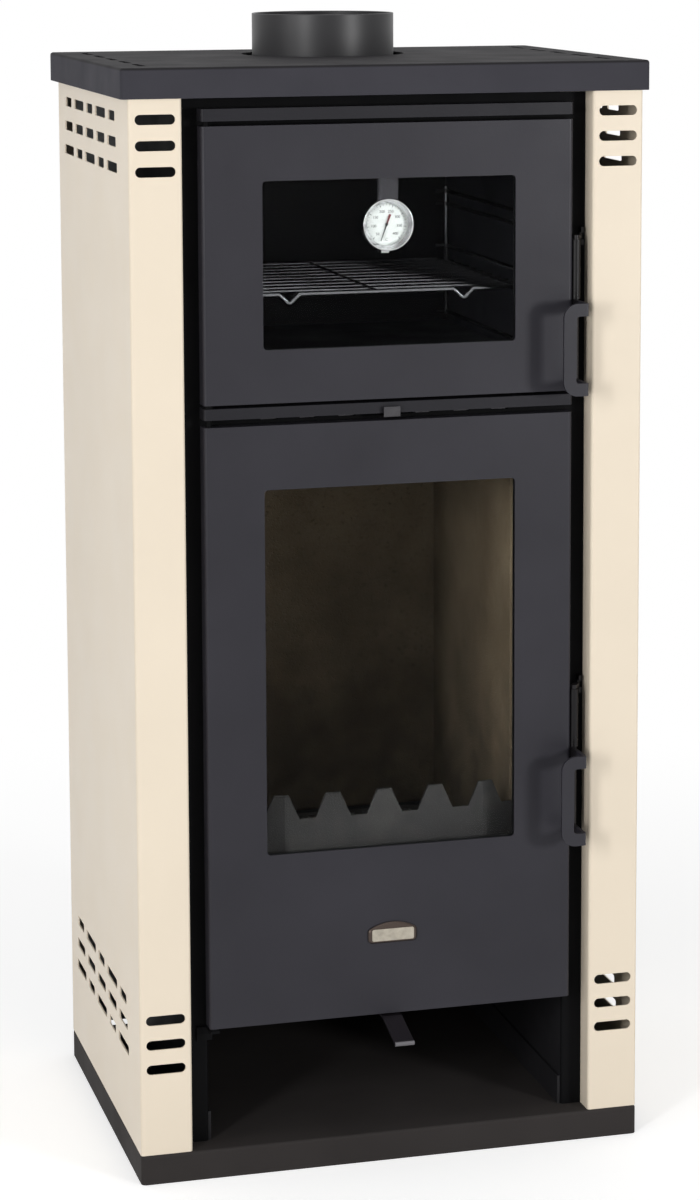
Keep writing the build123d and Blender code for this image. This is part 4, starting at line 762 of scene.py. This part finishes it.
dial_numbers = add_piece("dial_numbers", number_mesh, dial_ink, "oven_door")

# %% [markdown]
# ## Rope seals
#
# A stove door closes on a soft rope laid in a channel round its back. The rope is three strands twisted
# together, so each strand is a helix that winds round the channel's line. The line is a rectangle with
# rounded corners, which a function walks at an even pace; three closed curves then follow it, each a
# third of a turn behind the last.

# %% Twisted rope round a door
STRANDS = 3
TWIST_PITCH = 0.016
POINTS_PER_TWIST = 8
SEAL_CORNER = 0.016
GASKET_CORNER = 0.015
GASKET_WIDTH = 0.009


def seal_line(half_width, z_low, z_high, corner):
    """Function that gives a point and the outward direction at a share of the way round the seal."""
    straight_x = 2 * (half_width - corner)
    straight_z = (z_high - z_low) - 2 * corner
    arc = corner * math.pi / 2
    runs = [straight_x, arc, straight_z, arc, straight_x, arc, straight_z, arc]
    total = sum(runs)
    corners = [
        Vector((half_width - corner, 0, z_low + corner)), Vector((half_width - corner, 0, z_high - corner)),
        Vector((corner - half_width, 0, z_high - corner)), Vector((corner - half_width, 0, z_low + corner)),
    ]

    def at(share):
        travelled = (share % 1.0) * total
        for number, run in enumerate(runs):
            if travelled <= run:
                break
            travelled -= run
        side = number // 2
        heading = -math.pi / 2 + side * math.pi / 2
        if number % 2 == 0:
            outward = Vector((math.cos(heading), 0, math.sin(heading)))
            begin = corners[(side - 1) % 4] + outward * corner
            onward = Vector((-outward.z, 0, outward.x))
            return begin + onward * travelled, outward
        turn = heading + travelled / corner
        outward = Vector((math.cos(turn), 0, math.sin(turn)))
        return corners[side] + outward * corner, outward

    return at, total


def rope_seal(node_name, body):
    """Twisted rope in place of a door's plain seal ring."""
    low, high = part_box(node_name)
    radius = (high.y - low.y) / 2
    strand_radius = radius / (1 + 2 / math.sqrt(3))
    middle_y = (low.y + high.y) / 2
    at, total = seal_line(high.x - radius, low.z + radius, high.z - radius, SEAL_CORNER)
    twists = round(total / TWIST_PITCH)
    curve = bpy.data.curves.new(node_name, "CURVE")
    curve.dimensions = "3D"
    curve.bevel_depth = strand_radius
    curve.bevel_resolution = 2
    curve.resolution_u = 2
    count = twists * POINTS_PER_TWIST
    for strand in range(STRANDS):
        spline = curve.splines.new("NURBS")
        spline.points.add(count - 1)
        for index in range(count):
            point, outward = at(index / count)
            turn = 2 * math.pi * (index / POINTS_PER_TWIST + strand / STRANDS)
            offset = outward * math.cos(turn) + Vector((0, 1, 0)) * math.sin(turn)
            place = point + Vector((0, middle_y, 0)) + offset * (radius - strand_radius)
            spline.points[index].co = (*place, 1.0)
        spline.use_cyclic_u = True
        spline.order_u = 3
    holder = bpy.data.objects.new("strands", curve)
    scene.collection.objects.link(holder)
    bpy.context.view_layer.update()
    mesh = bpy.data.meshes.new_from_object(holder)
    bpy.data.objects.remove(holder)
    rope = bmesh.new()
    rope.from_mesh(mesh)
    bpy.data.meshes.remove(mesh)
    bmesh.ops.remove_doubles(rope, verts=rope.verts, dist=MERGE_DISTANCE)
    bmesh.ops.recalc_face_normals(rope, faces=rope.faces)
    piece = add_piece(node_name.replace("seal", "rope"), rope, rope_fibre, body, smooth_below=60)
    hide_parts(node_name)
    print("  length", round(total, 3), "m, twists", twists)
    return piece


rope_seal("oven_door_seal", "oven_door")
rope_seal("fire_door_seal", "fire_door")

# %% [markdown]
# ## Glass tapes
#
# Each pane lies on a flat woven tape. The tape is a flat oval carried once round the window: the line is
# drawn in the XY plane, so that the oval stays flat on it, and the finished ring is then stood upright.

# %% Woven tape round a window
TAPE_EDGE_STEPS = 12
TAPE_LINE_POINTS = 240


def drawn_curve(name, points):
    """Closed flat curve through some points in the XY plane."""
    curve = bpy.data.curves.new(name, "CURVE")
    curve.dimensions = "2D"
    curve.fill_mode = "NONE"
    spline = curve.splines.new("POLY")
    spline.points.add(len(points) - 1)
    for index, (x, y) in enumerate(points):
        spline.points[index].co = (x, y, 0.0, 1.0)
    spline.use_cyclic_u = True
    holder = bpy.data.objects.new(name, curve)
    scene.collection.objects.link(holder)
    return holder


def glass_tape(node_name, glass_name, body):
    """Flat woven ring in place of a pane's plain gasket."""
    low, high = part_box(node_name)
    outer_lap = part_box(glass_name)[1].x - high.x
    half_width = GASKET_WIDTH / 2
    half_thickness = (high.y - low.y) / 2
    at, total = seal_line(
        high.x - half_width, low.z + half_width, high.z - half_width, GASKET_CORNER - half_width
    )
    line = [at(index / TAPE_LINE_POINTS)[0] for index in range(TAPE_LINE_POINTS)]
    path = drawn_curve("tape_line", [(point.x, point.z) for point in line])
    turns = [2 * math.pi * step / TAPE_EDGE_STEPS for step in range(TAPE_EDGE_STEPS)]
    rim = [(math.cos(turn) * half_width, math.sin(turn) * half_thickness) for turn in turns]
    oval = drawn_curve("tape_oval", rim)
    path.data.bevel_mode = "OBJECT"
    path.data.bevel_object = oval
    bpy.context.view_layer.update()
    mesh = bpy.data.meshes.new_from_object(path.evaluated_get(bpy.context.evaluated_depsgraph_get()))
    bpy.data.objects.remove(path)
    bpy.data.objects.remove(oval)
    tape = bmesh.new()
    tape.from_mesh(mesh)
    bpy.data.meshes.remove(mesh)
    stand = Matrix.Translation((0.0, (low.y + high.y) / 2, 0.0)) @ Matrix.Rotation(math.pi / 2, 4, "X")
    bmesh.ops.transform(tape, matrix=stand, verts=tape.verts)
    bmesh.ops.remove_doubles(tape, verts=tape.verts, dist=MERGE_DISTANCE)
    bmesh.ops.recalc_face_normals(tape, faces=tape.faces)
    piece = add_piece(node_name.replace("gasket", "tape"), tape, woven_tape, body, smooth_below=60)
    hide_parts(node_name)
    print("  lap of the pane past the tape", round(outer_lap, 4), "m, length", round(total, 3), "m")
    return piece


glass_tape("oven_glass_gasket", "oven_door_glass", "oven_door")
glass_tape("fire_glass_gasket", "fire_door_glass", "fire_door")
